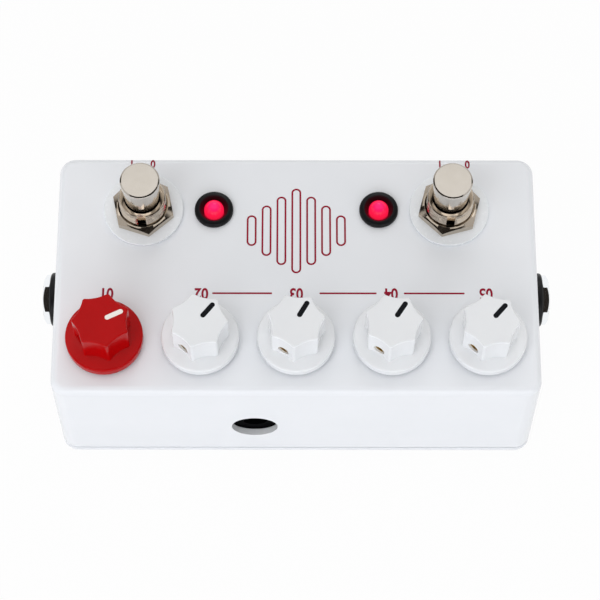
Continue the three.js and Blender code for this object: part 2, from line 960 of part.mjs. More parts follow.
function jackGroup(side, label) {
  const spacer = piece(`jack_spacer_${label}`, jackSpacerShape(), blackPlastic);
  spacer.position.z = box.wall + jack.stackGap;
  const nut = piece(`jack_nut_${label}`, jackNutShape(), nickelPlate);
  nut.position.z = spacer.position.z + jack.spacerHeight + jack.stackGap;
  nut.rotation.z = side * radians(jack.nutTurn);
  const group = new THREE.Group();
  group.position.set(side * (halfLengthAt(jackZ) - box.wall), jackY, jackZ);
  group.rotation.y = side * quarter;
  group.add(piece(`jack_body_${label}`, jackBodyShape(), blackPlastic), spacer, nut);
  return group;
}

// Power socket: its mouth faces the round hole in the knob-side wall.

function powerSocket() {
  const { width, length, boreDepth } = inlet;
  const mouthY = box.wall + inlet.wallGap - halfDepthAt(inletZ);
  const upright = housing(width, length, inletZ - inlet.skirtBelow, boardBottom, inlet.cornerBreak);
  const body = moved(upright, inlet.x, mouthY + half(length));
  const along = new THREE.Vector3(0, 1, 0);
  const mouth = new THREE.Vector3(inlet.x, mouthY, inletZ);
  const bore = laid(bar(inlet.boreRadius, -overrun, boreDepth), along, mouth);
  const pin = bar(inlet.pinRadius, inlet.pinSetback, boreDepth + overrun, steps.small);
  return piece('power_socket', body.subtract(bore).add(laid(pin, along, mouth)), blackPlastic);
}

// Circuit board

const boardX = halfLengthAt(boardTop) - box.wall - board.wallGap;
const boardY = halfDepthAt(boardTop) - box.wall - board.wallGap;
const tabX = footX - half(footswitch.housingSide) - board.switchGap;
const shoulderY = switchFront - board.switchGap;

function boardOutline() {
  const outline = new THREE.Shape();
  outline.moveTo(-boardX, -boardY);
  outline.lineTo(boardX, -boardY);
  outline.lineTo(boardX, shoulderY);
  outline.lineTo(tabX, shoulderY);
  outline.lineTo(tabX, boardY);
  outline.lineTo(-tabX, boardY);
  outline.lineTo(-tabX, shoulderY);
  outline.lineTo(-boardX, shoulderY);
  outline.closePath();
  return outline;
}

// Places about the middle for as many components of a pitch as the tab holds.
function acrossTab(halfWidth, pitch) {
  const count = Math.floor((tabX - board.edgeGap - halfWidth) / pitch);
  return Array.from({ length: 2 * count + 1 }, (empty, at) => (at - count) * pitch);
}

// Capacitors hang in a line near the back edge, and chips in front of them.
function boardComponents() {
  const top = boardTop - half(board.thickness);
  const { canRadius, canPitch, chipWidth, chipLength, chipPitch } = board;
  const canY = boardY - board.canInset;
  const chipY = canY - canRadius - board.chipGap - half(chipLength);
  const can = bar(canRadius, boardBottom - board.canHeight, top, steps.small);
  const cans = acrossTab(canRadius, canPitch).map((x) => moved(can, x, canY));
  const chips = acrossTab(half(chipWidth), chipPitch).map((x) =>
    block(x, chipY, chipWidth, chipLength, boardBottom - board.chipHeight, top));
  return [...chips, ...cans];
}

function circuitBoard() {
  const sheet = pulled(boardOutline(), boardBottom, boardTop);
  const notches = postCentres.map(([x, y]) =>
    moved(bar(post.radius + board.postGap, 0, box.height), x, y));
  const whole = joined([cut(sheet, notches), ...boardComponents()]);
  return piece('circuit_board', whole, boardGreen);
}

const pedal = new THREE.Group();
pedal.add(
  enclosure(),
  basePlate(),
  ...baseScrews(),
  ...pointerAngles.map((angle, place) => control(place)),
  footswitchGroup(-1, 'left'),
  footswitchGroup(1, 'right'),
  lampGroup(-1, 'left'),
  lampGroup(1, 'right'),
  jackGroup(-1, 'left'),
  jackGroup(1, 'right'),
  powerSocket(),
  circuitBoard(),
);

export default pedal;
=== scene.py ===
# %% [markdown]
# A delay effects pedal, dressed around its frame.
#
# The frame holds every piece at its real size and place. This script gives the pieces that
# show their fine surface: it models each one again in the place of its plain solid, with the
# rounds, threads and chamfers that the solid is too coarse for, and then lights the pedal.

# %% Load the frame
import json
import math

import bpy
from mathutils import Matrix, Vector


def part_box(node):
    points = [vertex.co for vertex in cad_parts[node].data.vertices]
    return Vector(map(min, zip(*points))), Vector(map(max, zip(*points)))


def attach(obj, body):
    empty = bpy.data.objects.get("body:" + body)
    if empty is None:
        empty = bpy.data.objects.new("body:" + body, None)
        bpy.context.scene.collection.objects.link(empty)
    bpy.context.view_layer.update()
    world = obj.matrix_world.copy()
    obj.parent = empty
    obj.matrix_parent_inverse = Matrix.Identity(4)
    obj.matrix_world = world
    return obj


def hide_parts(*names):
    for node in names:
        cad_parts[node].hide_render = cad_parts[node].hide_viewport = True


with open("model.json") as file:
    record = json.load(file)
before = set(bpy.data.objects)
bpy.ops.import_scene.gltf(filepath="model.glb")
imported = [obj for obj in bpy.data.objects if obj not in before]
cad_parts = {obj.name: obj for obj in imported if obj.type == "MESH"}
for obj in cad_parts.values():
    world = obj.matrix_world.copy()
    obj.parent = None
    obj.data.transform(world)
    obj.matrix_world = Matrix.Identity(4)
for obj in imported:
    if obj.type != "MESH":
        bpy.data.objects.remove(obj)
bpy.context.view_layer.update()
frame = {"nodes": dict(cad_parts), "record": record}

# %% [markdown]
# Blender counts in metres, and a pedal is measured in millimetres. Lengths below are written
# in millimetres and multiplied by MM once, where a shape is made. A node's box, in
# millimetres, tells where its piece goes, so nothing has to be fitted by eye.

# %% Millimetres and the boxes of nodes
MM = 0.001
SIDES = ("left", "right")


def box_mm(node):
    low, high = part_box(node)
    return low / MM, high / MM


def middle_mm(node):
    low, high = box_mm(node)
    return (low + high) / 2


shell_low, shell_high = box_mm("enclosure")
plate_low, plate_high = box_mm("base_plate")
PANEL = shell_high.z

# %% [markdown]
# In edit mode an operator works on all that is selected. So each step opens the piece with
# nothing selected, and then picks its faces, edges or points by where they are. The choice is
# made in object mode, because the mesh data isn't up to date while edit mode is open. The two
# operators that are used most, the bevel and the pull along Z, get a short form each.

# %% Open, pick and close
def deselect():
    bpy.ops.object.select_all(action="DESELECT")


def only(piece):
    deselect()
    piece.select_set(True)
    bpy.context.view_layer.objects.active = piece


def open_piece(piece):
    only(piece)
    bpy.ops.object.mode_set(mode="EDIT")
    bpy.ops.mesh.select_all(action="DESELECT")


def close_piece():
    bpy.ops.object.mode_set(mode="OBJECT")


def face_outwards():
    bpy.ops.mesh.select_all(action="SELECT")
    bpy.ops.mesh.normals_make_consistent(inside=False)


def pick(piece, kind, test):
    """Selects the faces, edges or points that pass a test of their place, in millimetres."""
    bpy.ops.mesh.select_mode(type=kind)
    bpy.ops.mesh.select_all(action="DESELECT")
    bpy.ops.object.mode_set(mode="OBJECT")
    mesh = piece.data
    if kind == "FACE":
        for face in mesh.polygons:
            face.select = test(face.center / MM, face.normal)
    elif kind == "EDGE":
        for edge in mesh.edges:
            ends = [mesh.vertices[index].co / MM for index in edge.vertices]
            edge.select = test(*ends)
    else:
        for point in mesh.vertices:
            point.select = test(point.co / MM)
    bpy.ops.object.mode_set(mode="EDIT")


def bevel(width, segments):
    """Bevels the picked edges."""
    bpy.ops.mesh.bevel(offset=width * MM, segments=segments, affect="EDGES")


def pull_up(height):
    """Extrudes the picked faces along Z."""
    bpy.ops.mesh.extrude_region_move(TRANSFORM_OT_translate={"value": (0, 0, height * MM)})


def bevel_edges(piece, test, width, segments):
    """Bevels the edges of a closed piece that pass a test."""
    open_piece(piece)
    pick(piece, "EDGE", test)
    bevel(width, segments)
    close_piece()


# %% [markdown]
# A primitive is only a start. The object that an operator adds is renamed at once, and its
# place is applied to its mesh, so that the object itself stays at the origin, unturned.

# %% Start from a primitive
def named(name):
    piece = bpy.context.object
    piece.name = name
    piece.data.name = name
    return piece


def settle(piece):
    only(piece)
    bpy.ops.object.transform_apply(location=True, rotation=True, scale=True)
    return piece


def brick(name, low, high):
    """A box between two corners."""
    low, high = Vector(low) * MM, Vector(high) * MM
    deselect()
    bpy.ops.mesh.primitive_cube_add(size=1, location=(low + high) / 2)
    piece = named(name)
    piece.scale = high - low
    return settle(piece)


UPRIGHT = (0, 0, 0)
ALONG_X = (0, math.pi / 2, 0)
ALONG_Y = (math.pi / 2, 0, 0)


def rod(name, radius, length, middle, turn=UPRIGHT, sides=64):
    """A round or many-sided bar about its middle."""
    deselect()
    bpy.ops.mesh.primitive_cylinder_add(
        vertices=sides, radius=radius * MM, depth=length * MM, location=Vector(middle) * MM, rotation=turn)
    return settle(named(name))


# %% [markdown]
# Knob skirts, caps, bushings, washers and bezels are all turned shapes. One point is walked
# along the profile by extrusion, as a wire, and the wire is spun about the upright axis. The
# doubles at the seam and on the axis are merged before the normals are turned outwards.

# %% Turn a profile
def turned(name, profile, steps=72):
    """A turned solid from [radius, height] points."""
    deselect()
    bpy.ops.mesh.primitive_plane_add(size=MM)
    piece = named(name)
    open_piece(piece)
    bpy.ops.mesh.select_mode(type="VERT")
    bpy.ops.mesh.select_all(action="SELECT")
    bpy.ops.mesh.merge(type="CENTER")
    at = Vector((0, 0, 0))
    for count, (radius, height) in enumerate(profile):
        step = Vector((radius, 0, height)) * MM - at
        if count == 0:
            bpy.ops.transform.translate(value=step)
        else:
            bpy.ops.mesh.extrude_vertices_move(TRANSFORM_OT_translate={"value": step})
        at = at + step
    bpy.ops.mesh.select_all(action="SELECT")
    bpy.ops.mesh.spin(steps=steps, angle=2 * math.pi, center=(0, 0, 0), axis=(0, 0, 1))
    bpy.ops.mesh.select_all(action="SELECT")
    bpy.ops.mesh.remove_doubles(threshold=0.002 * MM)
    face_outwards()
    close_piece()
    return piece


def arc(centre, radius, start, end, steps):
    """Profile points on a round, from one angle to another, in degrees."""
    angles = [math.radians(start + (end - start) * step / steps) for step in range(steps + 1)]
    return [(centre[0] + radius * math.cos(a), centre[1] + radius * math.sin(a)) for a in angles]


# %% [markdown]
# Holes and joins are Boolean modifiers, applied at once. The exact solver keeps the cut clean
# where faces lie close together. A finished piece is smoothed by angle, and its normals are
# weighted by face area, so that a flat panel stays flat right up to its rounded edge.

# %% Cut, join, smooth and copy
def discard(*pieces):
    for piece in pieces:
        bpy.data.objects.remove(piece)


def combine(piece, other, how="DIFFERENCE", materials="INDEX"):
    step = piece.modifiers.new("combine", "BOOLEAN")
    step.operation = how
    step.solver = "EXACT"
    step.material_mode = materials
    step.object = other
    only(piece)
    bpy.ops.object.modifier_apply(modifier=step.name)
    discard(other)
    return piece


def smooth(piece, angle=32):
    only(piece)
    bpy.ops.object.shade_smooth_by_angle(angle=math.radians(angle))
    step = piece.modifiers.new("normals", "WEIGHTED_NORMAL")
    step.keep_sharp = True
    bpy.ops.object.modifier_apply(modifier=step.name)
    return piece


def copied(piece, name, place=(0, 0, 0), turn=0):
    """A copy with its own mesh, turned about Z and moved, in degrees and millimetres."""
    only(piece)
    bpy.ops.object.duplicate(linked=False)
    twin = named(name)
    twin.rotation_euler = (0, 0, math.radians(turn))
    twin.location = Vector(place) * MM
    return settle(twin)


# %% [markdown]
# Each finished piece gets its material, the body that it moves with, and the nodes whose place
# it takes.

# %% Dress a piece
def dress(piece, finish, slot, body, *nodes):
    piece.data.materials.clear()
    piece.data.materials.append(finish)
    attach(piece, body)
    if nodes:
        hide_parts(*nodes)
    print(piece.name, "faces", len(piece.data.polygons), "on", body)
    return piece


# %% [markdown]
# Colours are written as sRGB hex values, as a colour picker shows them, and shaders want them
# linear, so one function turns them. One more function adds a node with its settings and
# links, to a material or to the world, and every shader below is made of calls to it.

# %% Colours and nodes
def colour(text):
    channels = [int(text[at:at + 2], 16) / 255 for at in (1, 3, 5)]
    linear = [c / 12.92 if c <= 0.04045 else ((c + 0.055) / 1.055) ** 2.4 for c in channels]
    return (*linear, 1)


def add(owner, kind, inputs, **settings):
    """Adds a node. An input that is a socket is linked, and any other is a value."""
    node = owner.node_tree.nodes.new(kind)
    for name, value in settings.items():
        setattr(node, name, value)
    for name, value in inputs.items():
        if isinstance(value, bpy.types.NodeSocket):
            owner.node_tree.links.new(value, node.inputs[name])
        else:
            node.inputs[name].default_value = value
    return node


def ramped(owner, factor, stops):
    """Colour over a factor: pairs of a place on the ramp and a hex value, in rising order."""
    node = add(owner, "ShaderNodeValToRGB", {"Fac": factor})
    elements = node.color_ramp.elements
    elements[0].position = stops[0][0]
    elements[1].position = stops[-1][0]
    for place, _ in stops[1:-1]:
        elements.new(place)
    for element, (_, tone) in zip(elements, stops):
        element.color = colour(tone)
    return node.outputs["Color"]


def shader_of(finish):
    return finish.node_tree.nodes["Principled BSDF"]


def new_finish(name, roughness, **more):
    """A material. More inputs of its shader go by name, with _ for a space."""
    finish = bpy.data.materials.new(name)
    finish.use_nodes = True
    for socket, value in {"Roughness": roughness, **more}.items():
        shader_of(finish).inputs[socket.replace("_", " ")].default_value = value
    return finish


def link(finish, socket, name):
    finish.node_tree.links.new(socket, shader_of(finish).inputs[name])


def pattern_of(finish, size_mm):
    """Noise over the piece whose spots are about this many millimetres wide."""
    place = add(finish, "ShaderNodeTexCoord", {})
    return add(finish, "ShaderNodeTexNoise", {
        "Vector": place.outputs["Object"], "Scale": 1 / (size_mm * MM), "Detail": 2.0}).outputs["Fac"]


def blended(finish, size_mm, low, high):
    """Colour that drifts between two hex values."""
    mix = add(finish, "ShaderNodeMix", {
        "Factor": pattern_of(finish, size_mm), "A": colour(low), "B": colour(high)}, data_type="RGBA")
    link(finish, mix.outputs["Result"], "Base Color")


def ranged(finish, size_mm, low, high):
    """Roughness that drifts between two values."""
    span = add(finish, "ShaderNodeMapRange", {
        "Value": pattern_of(finish, size_mm), "To Min": low, "To Max": high})
    link(finish, span.outputs["Result"], "Roughness")


def bumped(finish, size_mm, depth_mm):
    bump = add(finish, "ShaderNodeBump", {
        "Height": pattern_of(finish, size_mm), "Distance": depth_mm * MM, "Strength": 1.0})
    link(finish, bump.outputs["Normal"], "Normal")


# %% [markdown]
# The box and its lid are die-cast aluminium under gloss powder coat. The coat flows as it
# bakes and sets with a faint orange peel, about a millimetre across and a few thousandths
# deep, which softens every reflection a little. Its white drifts by a few levels of 255.

# %% Gloss white powder coat
powder_coat = new_finish("gloss_white_powder_coat", 0.2, IOR=1.5)
blended(powder_coat, 14, "#eaedf1", "#eff1f5")
ranged(powder_coat, 3, 0.17, 0.25)
bumped(powder_coat, 1.1, 0.006)

# %% [markdown]
# The knobs are moulded ABS with a polished surface. The white is as cool as the box's, the
# red deep and clear. Both get a slow drift of roughness, as a moulding has from its tool.

# %% Moulded knob plastics
white_abs = new_finish("polished_white_abs", 0.16, IOR=1.52)
blended(white_abs, 5, "#e8eaed", "#eef0f2")
ranged(white_abs, 2.2, 0.12, 0.2)
bumped(white_abs, 1.6, 0.003)

red_abs = new_finish("polished_red_abs", 0.18, IOR=1.52, Specular_IOR_Level=0.12)
blended(red_abs, 5, "#aa0406", "#b8060a")
ranged(red_abs, 2.2, 0.13, 0.22)
bumped(red_abs, 1.6, 0.003)

# %% [markdown]
# Caps, bushings and nuts are brass under bright nickel plate, which is a warm mirror. Turned
# metal keeps fine tool marks, here a bump too small to see as lines, which softens the
# highlights. Bushings and nuts are plated in bulk, which leaves them duller and warmer. The jack
# nuts are chrome, cooler and brighter. Set screws and inserts of the knobs are turned brass.

# %% Plated and turned metals
nickel = new_finish("bright_nickel_plate", 0.12, Metallic=1)
blended(nickel, 3, "#d0c9c0", "#d9d3cb")
ranged(nickel, 1.2, 0.07, 0.16)
bumped(nickel, 0.5, 0.0012)

mounting_nickel = new_finish("warm_nickel_plate", 0.14, Metallic=1)
blended(mounting_nickel, 2, "#bfb3a4", "#cabeaf")
ranged(mounting_nickel, 0.8, 0.09, 0.18)
bumped(mounting_nickel, 0.5, 0.0015)

chrome = new_finish("bright_chrome_plate", 0.1, Metallic=1)
blended(chrome, 2, "#f0f3f6", "#f6f8fa")
ranged(chrome, 0.9, 0.06, 0.14)

turned_brass = new_finish("turned_brass", 0.3, Metallic=1)
blended(turned_brass, 1.5, "#c4a868", "#d8c08c")
ranged(turned_brass, 0.6, 0.22, 0.4)

zinc_steel = new_finish("zinc_plated_steel", 0.35, Metallic=1)
blended(zinc_steel, 1.8, "#9fa4a8", "#b7bbbd")
ranged(zinc_steel, 0.8, 0.28, 0.45)

bare_casting = new_finish("bare_cut_aluminium", 0.5, Metallic=0.05)
blended(bare_casting, 0.6, "#e6e8ea", "#f0f2f4")
bumped(bare_casting, 0.4, 0.01)

# %% [markdown]
# Bezels, jacks and their spacers are black moulded plastic with a fine satin grain. The power
# socket is black moulding made near-black and matt, painted shade that keeps its hole as dark as
# the shaded inside of the box. The washers are nylon, a shade paler than the panel.

# %% Black plastic and natural nylon
black_plastic = new_finish("satin_black_moulding", 0.38, IOR=1.5, Specular_IOR_Level=0.2)
blended(black_plastic, 2, "#08090b", "#0e0f13")
ranged(black_plastic, 0.5, 0.3, 0.46)
bumped(black_plastic, 0.35, 0.004)

# Near-black and matt: painted shade for the dark inside of the power hole.
socket_shade_black = new_finish("matt_black_socket", 0.7, Specular_IOR_Level=0.02)
blended(socket_shade_black, 1.5, "#030304", "#060607")

nylon = new_finish("natural_nylon", 0.3, IOR=1.53)
blended(nylon, 2.5, "#eaeef2", "#f1f4f7")
ranged(nylon, 1, 0.2, 0.32)

# %% [markdown]
# Printed legends are screen ink, thin and a little matt: red on the panel, and black or white
# in the grooves of the knobs. Ink is never quite even, so its colour drifts over a millimetre.

# %% Inks
red_ink = new_finish("red_screen_ink", 0.45, Specular_IOR_Level=0.15)
blended(red_ink, 0.8, "#8c0628", "#a00c32")

black_ink = new_finish("black_pointer_ink", 0.5, Specular_IOR_Level=0.1)
blended(black_ink, 0.8, "#0a0c10", "#121419")

white_ink = new_finish("white_pointer_ink", 0.45)
blended(white_ink, 0.8, "#f2e9e2", "#fbf5f0")

# %% [markdown]
# A lit lamp is brightest over its chip and falls off to the rim. The distance from a point on
# the lamp's axis drives a colour ramp, from pink at the middle to deep red, as its emission.
# Each lamp has its own material, because the ramp is centred on the lamp's place on the panel.

# %% Lit red lens
GLOW_REACH = 3.0
GLOW_STOPS = ((0.0, "#c00a2c"), (0.16, "#f41c42"), (0.32, "#f81a4e"), (0.42, "#ff2480"))


def lit_lens(name, middle):
    lens = new_finish(name, 0.12, IOR=1.5, Specular_IOR_Level=0.2, Emission_Strength=0.95,
                      Base_Color=colour("#8c0010"))
    place = add(lens, "ShaderNodeTexCoord", {})
    centred = add(lens, "ShaderNodeMapping", {
        "Vector": place.outputs["Object"],
        "Location": tuple(-at / GLOW_REACH for at in middle),
        "Scale": (1 / (GLOW_REACH * MM),) * 3})
    distance = add(lens, "ShaderNodeTexGradient", {"Vector": centred.outputs["Vector"]},
                   gradient_type="SPHERICAL")
    link(lens, ramped(lens, distance.outputs["Fac"], GLOW_STOPS), "Emission Color")
    return lens


# %% [markdown]
# Inside the box are the circuit board, the potentiometers and the switch housings. They keep
# their solids, and get the finish of their kind: solder mask, zinc plate or black moulding.

# %% Finishes of the carried-over nodes
board_mask = new_finish("green_solder_mask", 0.35)
blended(board_mask, 4, "#1c4a34", "#245c41")
bumped(board_mask, 1.3, 0.01)

slot_finishes = {
    "white_paint": powder_coat,
    "white_plastic": white_abs,
    "red_plastic": red_abs,
    "nickel_plate": nickel,
    "brass": turned_brass,
    "zinc_steel": zinc_steel,
    "black_plastic": black_plastic,
    "clear_nylon": nylon,
    "red_lens": lit_lens("lit_red_epoxy_left", middle_mm("lamp_bezel_left")),
    "board_laminate": board_mask,
}
for part in frame["record"]["subparts"]:
    mesh = frame["nodes"][part["node"]].data
    mesh.materials.clear()
    mesh.materials.append(slot_finishes[part["material_slot"]])

# %% [markdown]
# The box is a die-cast shell, so its walls lean in a little to leave the mould, its corners
# are round, and the top edge is rolled over. It starts as a cube. The top face is drawn in by
# the draft, the upright edges and then the top rim are bevelled, and the underside is inset by
# the wall and pushed up to the panel. The outer edge of the foot is broken a little.

# %% Box: outside and inside
WALL = 1.8
PANEL_THICKNESS = 2.2
CORNER = 4
TOP_ROUND = 2
SEAM_BREAK = 0.3
DRAFT_X = 0.19
DRAFT_Y = 0.76


def at_outside(at):
    """Tells the outer rim's points from the inner rim's, which lie in by the wall."""
    reach_x, reach_y = shell_high.x - WALL / 2, shell_high.y - WALL / 2
    corner_x, corner_y = shell_high.x - CORNER, shell_high.y - CORNER
    over = Vector((max(abs(at.x) - corner_x, 0), max(abs(at.y) - corner_y, 0)))
    return abs(at.x) > reach_x or abs(at.y) > reach_y or over.length > CORNER - WALL / 2


shell = brick("enclosure_shell", shell_low, shell_high)
open_piece(shell)
pick(shell, "FACE", lambda at, normal: normal.z > 0.9)
size = shell_high - shell_low
bpy.ops.transform.resize(value=(1 - 2 * DRAFT_X / size.x, 1 - 2 * DRAFT_Y / size.y, 1))
pick(shell, "EDGE", lambda a, b: abs(a.z - b.z) > CORNER)
bevel(CORNER, 12)
pick(shell, "EDGE", lambda a, b: min(a.z, b.z) > PANEL - 0.01)
bevel(TOP_ROUND, 7)
pick(shell, "FACE", lambda at, normal: normal.z < -0.9)
bpy.ops.mesh.inset(thickness=WALL * MM)
pull_up(size.z - PANEL_THICKNESS)
pick(shell, "EDGE", lambda a, b: max(a.z, b.z) < shell_low.z + 0.01 and at_outside(a) and at_outside(b))
bevel(SEAM_BREAK, 2)
close_piece()

# %% [markdown]
# Four posts in the corners take the lid's screws. They are bars joined to the shell, and each
# is drilled from below.

# %% Box: screw posts
POST_RADIUS = 3.8
SCREW_HOLE = 1.85
SCREW_HOLE_DEPTH = 13
post_height = PANEL - 1 - shell_low.z
post_places = [middle_mm(f"base_screw_{count}") for count in range(1, 5)]
for place in post_places:
    post = rod("post", POST_RADIUS, post_height, (place.x, place.y, shell_low.z + post_height / 2))
    combine(shell, post, "UNION")
for place in post_places:
    foot = (place.x, place.y, shell_low.z)
    combine(shell, rod("drill", SCREW_HOLE, 2 * SCREW_HOLE_DEPTH, foot, sides=32))

# %% [markdown]
# The panel is drilled for five potentiometers, two switches and two lamps, and the walls for
# the jacks and the power socket. The cutters carry the bare metal, because a drilled hole
# shows it, and the Boolean is told to hand that material to the faces that it cuts.

# %% Box: holes
POT_HOLE = 3.75
SWITCH_HOLE = 6.2
LAMP_HOLE = 4.05
JACK_HOLE = 4.8
POWER_HOLE = 5.8
DRILL_LENGTH = 16
SOCKET_AXIS_DEPTH = 6.5
socket = middle_mm("power_socket")
socket_low, socket_high = box_mm("power_socket")
socket_z = socket_high.z - SOCKET_AXIS_DEPTH

holes = [(POT_HOLE, middle_mm(f"pot_nut_{count}"), UPRIGHT) for count in range(1, 6)]
for side in SIDES:
    holes.append((SWITCH_HOLE, middle_mm(f"footswitch_washer_{side}"), UPRIGHT))
    holes.append((LAMP_HOLE, middle_mm(f"lamp_bezel_{side}"), UPRIGHT))
    holes.append((JACK_HOLE, middle_mm(f"jack_nut_{side}"), ALONG_X))
holes.append((POWER_HOLE, Vector((socket.x, shell_low.y, socket_z)), ALONG_Y))
shell.data.materials.append(powder_coat)
for radius, middle, turn in holes:
    drill = rod("drill", radius, DRILL_LENGTH, middle, turn, sides=96)
    drill.data.materials.append(bare_casting)
    combine(shell, drill, materials="TRANSFER")
smooth(shell)
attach(shell, "root")
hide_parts("enclosure")

# %% [markdown]
# The lid closes the box from below. It is a plate with broken edges, set in by a groove under
# the box's rim, which shows as the dark seam. A low lip locates it inside the walls. It is cut
# away round the posts down to a hair above the plate, which has four countersunk holes.

# %% Lid
LIP_INSET = 2.1
LIP_WALL = 1.4
REVEAL_HEIGHT = 0.5
REVEAL_DEPTH = 0.9
LID_BREAK = 0.25
POST_GAP = 0.3
SINK_RADIUS = 3.25
lip_height = plate_high.z - shell_low.z
lid = brick("base_lid", plate_low, (plate_high.x, plate_high.y, shell_low.z - REVEAL_HEIGHT))
open_piece(lid)
pick(lid, "EDGE", lambda a, b: abs(a.z - b.z) > 0.8)
bevel(CORNER, 12)
pick(lid, "EDGE", lambda a, b: abs(a.z - b.z) < 0.01)
bevel(LID_BREAK, 3)
pick(lid, "FACE", lambda at, normal: normal.z > 0.99)
bpy.ops.mesh.inset(thickness=REVEAL_DEPTH * MM)
pull_up(REVEAL_HEIGHT)
bpy.ops.mesh.inset(thickness=(LIP_INSET - REVEAL_DEPTH) * MM)
pull_up(lip_height)
bpy.ops.mesh.inset(thickness=LIP_WALL * MM)
pull_up(-lip_height)
close_piece()
sink = turned("countersink", [
    (0, -1), (SINK_RADIUS, -1), (SINK_RADIUS, 0.5), (SCREW_HOLE, 1.75), (SCREW_HOLE, 6), (0, 6)], steps=48)
for place in post_places:
    over_plate = (place.x, place.y, shell_low.z + 2.002)
    combine(lid, rod("clearance", POST_RADIUS + POST_GAP, 4, over_plate))
    combine(lid, copied(sink, "sink_here", (place.x, place.y, plate_low.z)))
discard(sink)
smooth(lid)
dress(lid, powder_coat, "white_paint", "root", "base_plate")

# %% [markdown]
# The lid's screws have flat heads with a cross recess. One screw is turned, its recess is cut
# by two crossed bricks, and it is copied to the four posts.

# %% Lid screws
HEAD_RADIUS = 3
SHANK_RADIUS = 1.6
SCREW_LENGTH = 12
CROSS_ARM = 1.8
CROSS_HALF_WIDTH = 0.4
CROSS_DEPTH = 0.9
screw_foot = box_mm("base_screw_1")[0].z
screw = turned("lid_screw", [
    (0, 0), (HEAD_RADIUS - 0.15, 0), (HEAD_RADIUS, 0.12), (HEAD_RADIUS, 0.25), (SHANK_RADIUS, 1.5),
    (SHANK_RADIUS, SCREW_LENGTH - 1.2), (SHANK_RADIUS / 2, SCREW_LENGTH), (0, SCREW_LENGTH)], steps=48)
for x, y in ((CROSS_ARM, CROSS_HALF_WIDTH), (CROSS_HALF_WIDTH, CROSS_ARM)):
    combine(screw, brick("recess", (-x, -y, -1), (x, y, CROSS_DEPTH)))
for count, place in enumerate(post_places, start=1):
    twin = copied(screw, f"lid_screw_{count}", (place.x, place.y, screw_foot), turn=17 * count)
    smooth(twin)
    dress(twin, zinc_steel, "zinc_steel", "root", f"base_screw_{count}")
discard(screw)

# %% [markdown]
# A pointer knob has a low skirt and a tall grip with seven hollow flutes. The grip's outline is
# a formula, seven arcs between seven ridges. A circle gets that outline and is pulled up. The
# ridges are softened by a bevel, and the top is pulled up further in small steps, each drawn in
# a little, which rolls the edge over.

# %% Knob: fluted grip
FLUTES = 7
GRIP_RADIUS = 7.4
FLUTE_DEPTH = 0.55
KNOB_HEIGHT = 12
POINTS_PER_FLUTE = 9
RIDGE_BREAK = 0.6
GRIP_ROUND = 0.45
ROUND_STEPS = 5

half_step = math.pi / FLUTES
half_chord = GRIP_RADIUS * math.sin(half_step)
flute_radius = (half_chord ** 2 + FLUTE_DEPTH ** 2) / (2 * FLUTE_DEPTH)
flute_sweep = math.asin(half_chord / flute_radius)
flute_reach = GRIP_RADIUS * math.cos(half_step) - FLUTE_DEPTH + flute_radius


def grip_point(count):
    """The place of one point of the outline."""
    flute, step = divmod(count, POINTS_PER_FLUTE)
    middle = half_step * (2 * flute + 1)
    angle = middle + math.pi + flute_sweep * (1 - 2 * step / POINTS_PER_FLUTE)
    return Vector((
        flute_reach * math.cos(middle) + flute_radius * math.cos(angle),
        flute_reach * math.sin(middle) + flute_radius * math.sin(angle),
        0,
    ))


def make_grip(bottom):
    deselect()
    bpy.ops.mesh.primitive_circle_add(
        vertices=FLUTES * POINTS_PER_FLUTE, radius=GRIP_RADIUS * MM, fill_type="NGON")
    grip = named("grip")
    for count, point in enumerate(grip.data.vertices):
        point.co = (grip_point(count) + Vector((0, 0, bottom))) * MM
    open_piece(grip)
    bpy.ops.mesh.select_all(action="SELECT")
    pull_up(KNOB_HEIGHT - GRIP_ROUND - bottom)
    face_outwards()
    ridge = GRIP_RADIUS - 0.01
    pick(grip, "EDGE", lambda a, b: abs(a.z - b.z) > 1 and a.xy.length > ridge)
    bevel(RIDGE_BREAK, 6)
    pick(grip, "FACE", lambda at, normal: normal.z > 0.9)
    rings = arc((GRIP_RADIUS - GRIP_ROUND, 0), GRIP_ROUND, 0, 90, ROUND_STEPS)
    for before, after in zip(rings, rings[1:]):
        shrink = after[0] / before[0]
        pull_up(after[1] - before[1])
        bpy.ops.transform.resize(value=(shrink, shrink, 1))
    close_piece()
    return grip


# %% [markdown]
# The skirt is turned: a rounded rim, a shallow slope up to the grip and a recess below that
# clears the nut on the panel. Grip and skirt are joined, and then the socket for the insert,
# the hole for the set screw and the groove for the pointer are cut.

# %% Knob: skirt, socket and groove
SKIRT_RADIUS = 9.6
RIM = 1.9
RIM_ROUND = 0.6
SLOPE_TOP = 2.85
FOOT_ROUND = 0.3
RECESS_RADIUS = 6.6
RECESS_DEPTH = 2.0
SOCKET_RADIUS = 4.45
SCREW_WAY = 1.5
SCREW_HEIGHT = 5.6
POINTER = (1.7, 5.2)
POINTER_WIDTH = 1.3
GROOVE_DEPTH = 0.3


def slot_bar(name, width, low, high):
    """A bar with round ends along X over the pointer's length."""
    bar = rod(name, width / 2, high - low, (0, 0, (low + high) / 2), sides=32)
    open_piece(bar)
    pick(bar, "VERT", lambda at: at.x > 0.001)
    bpy.ops.transform.translate(value=(POINTER[1] * MM, 0, 0))
    pick(bar, "VERT", lambda at: at.x <= 0.001)
    bpy.ops.transform.translate(value=(POINTER[0] * MM, 0, 0))
    close_piece()
    return bar


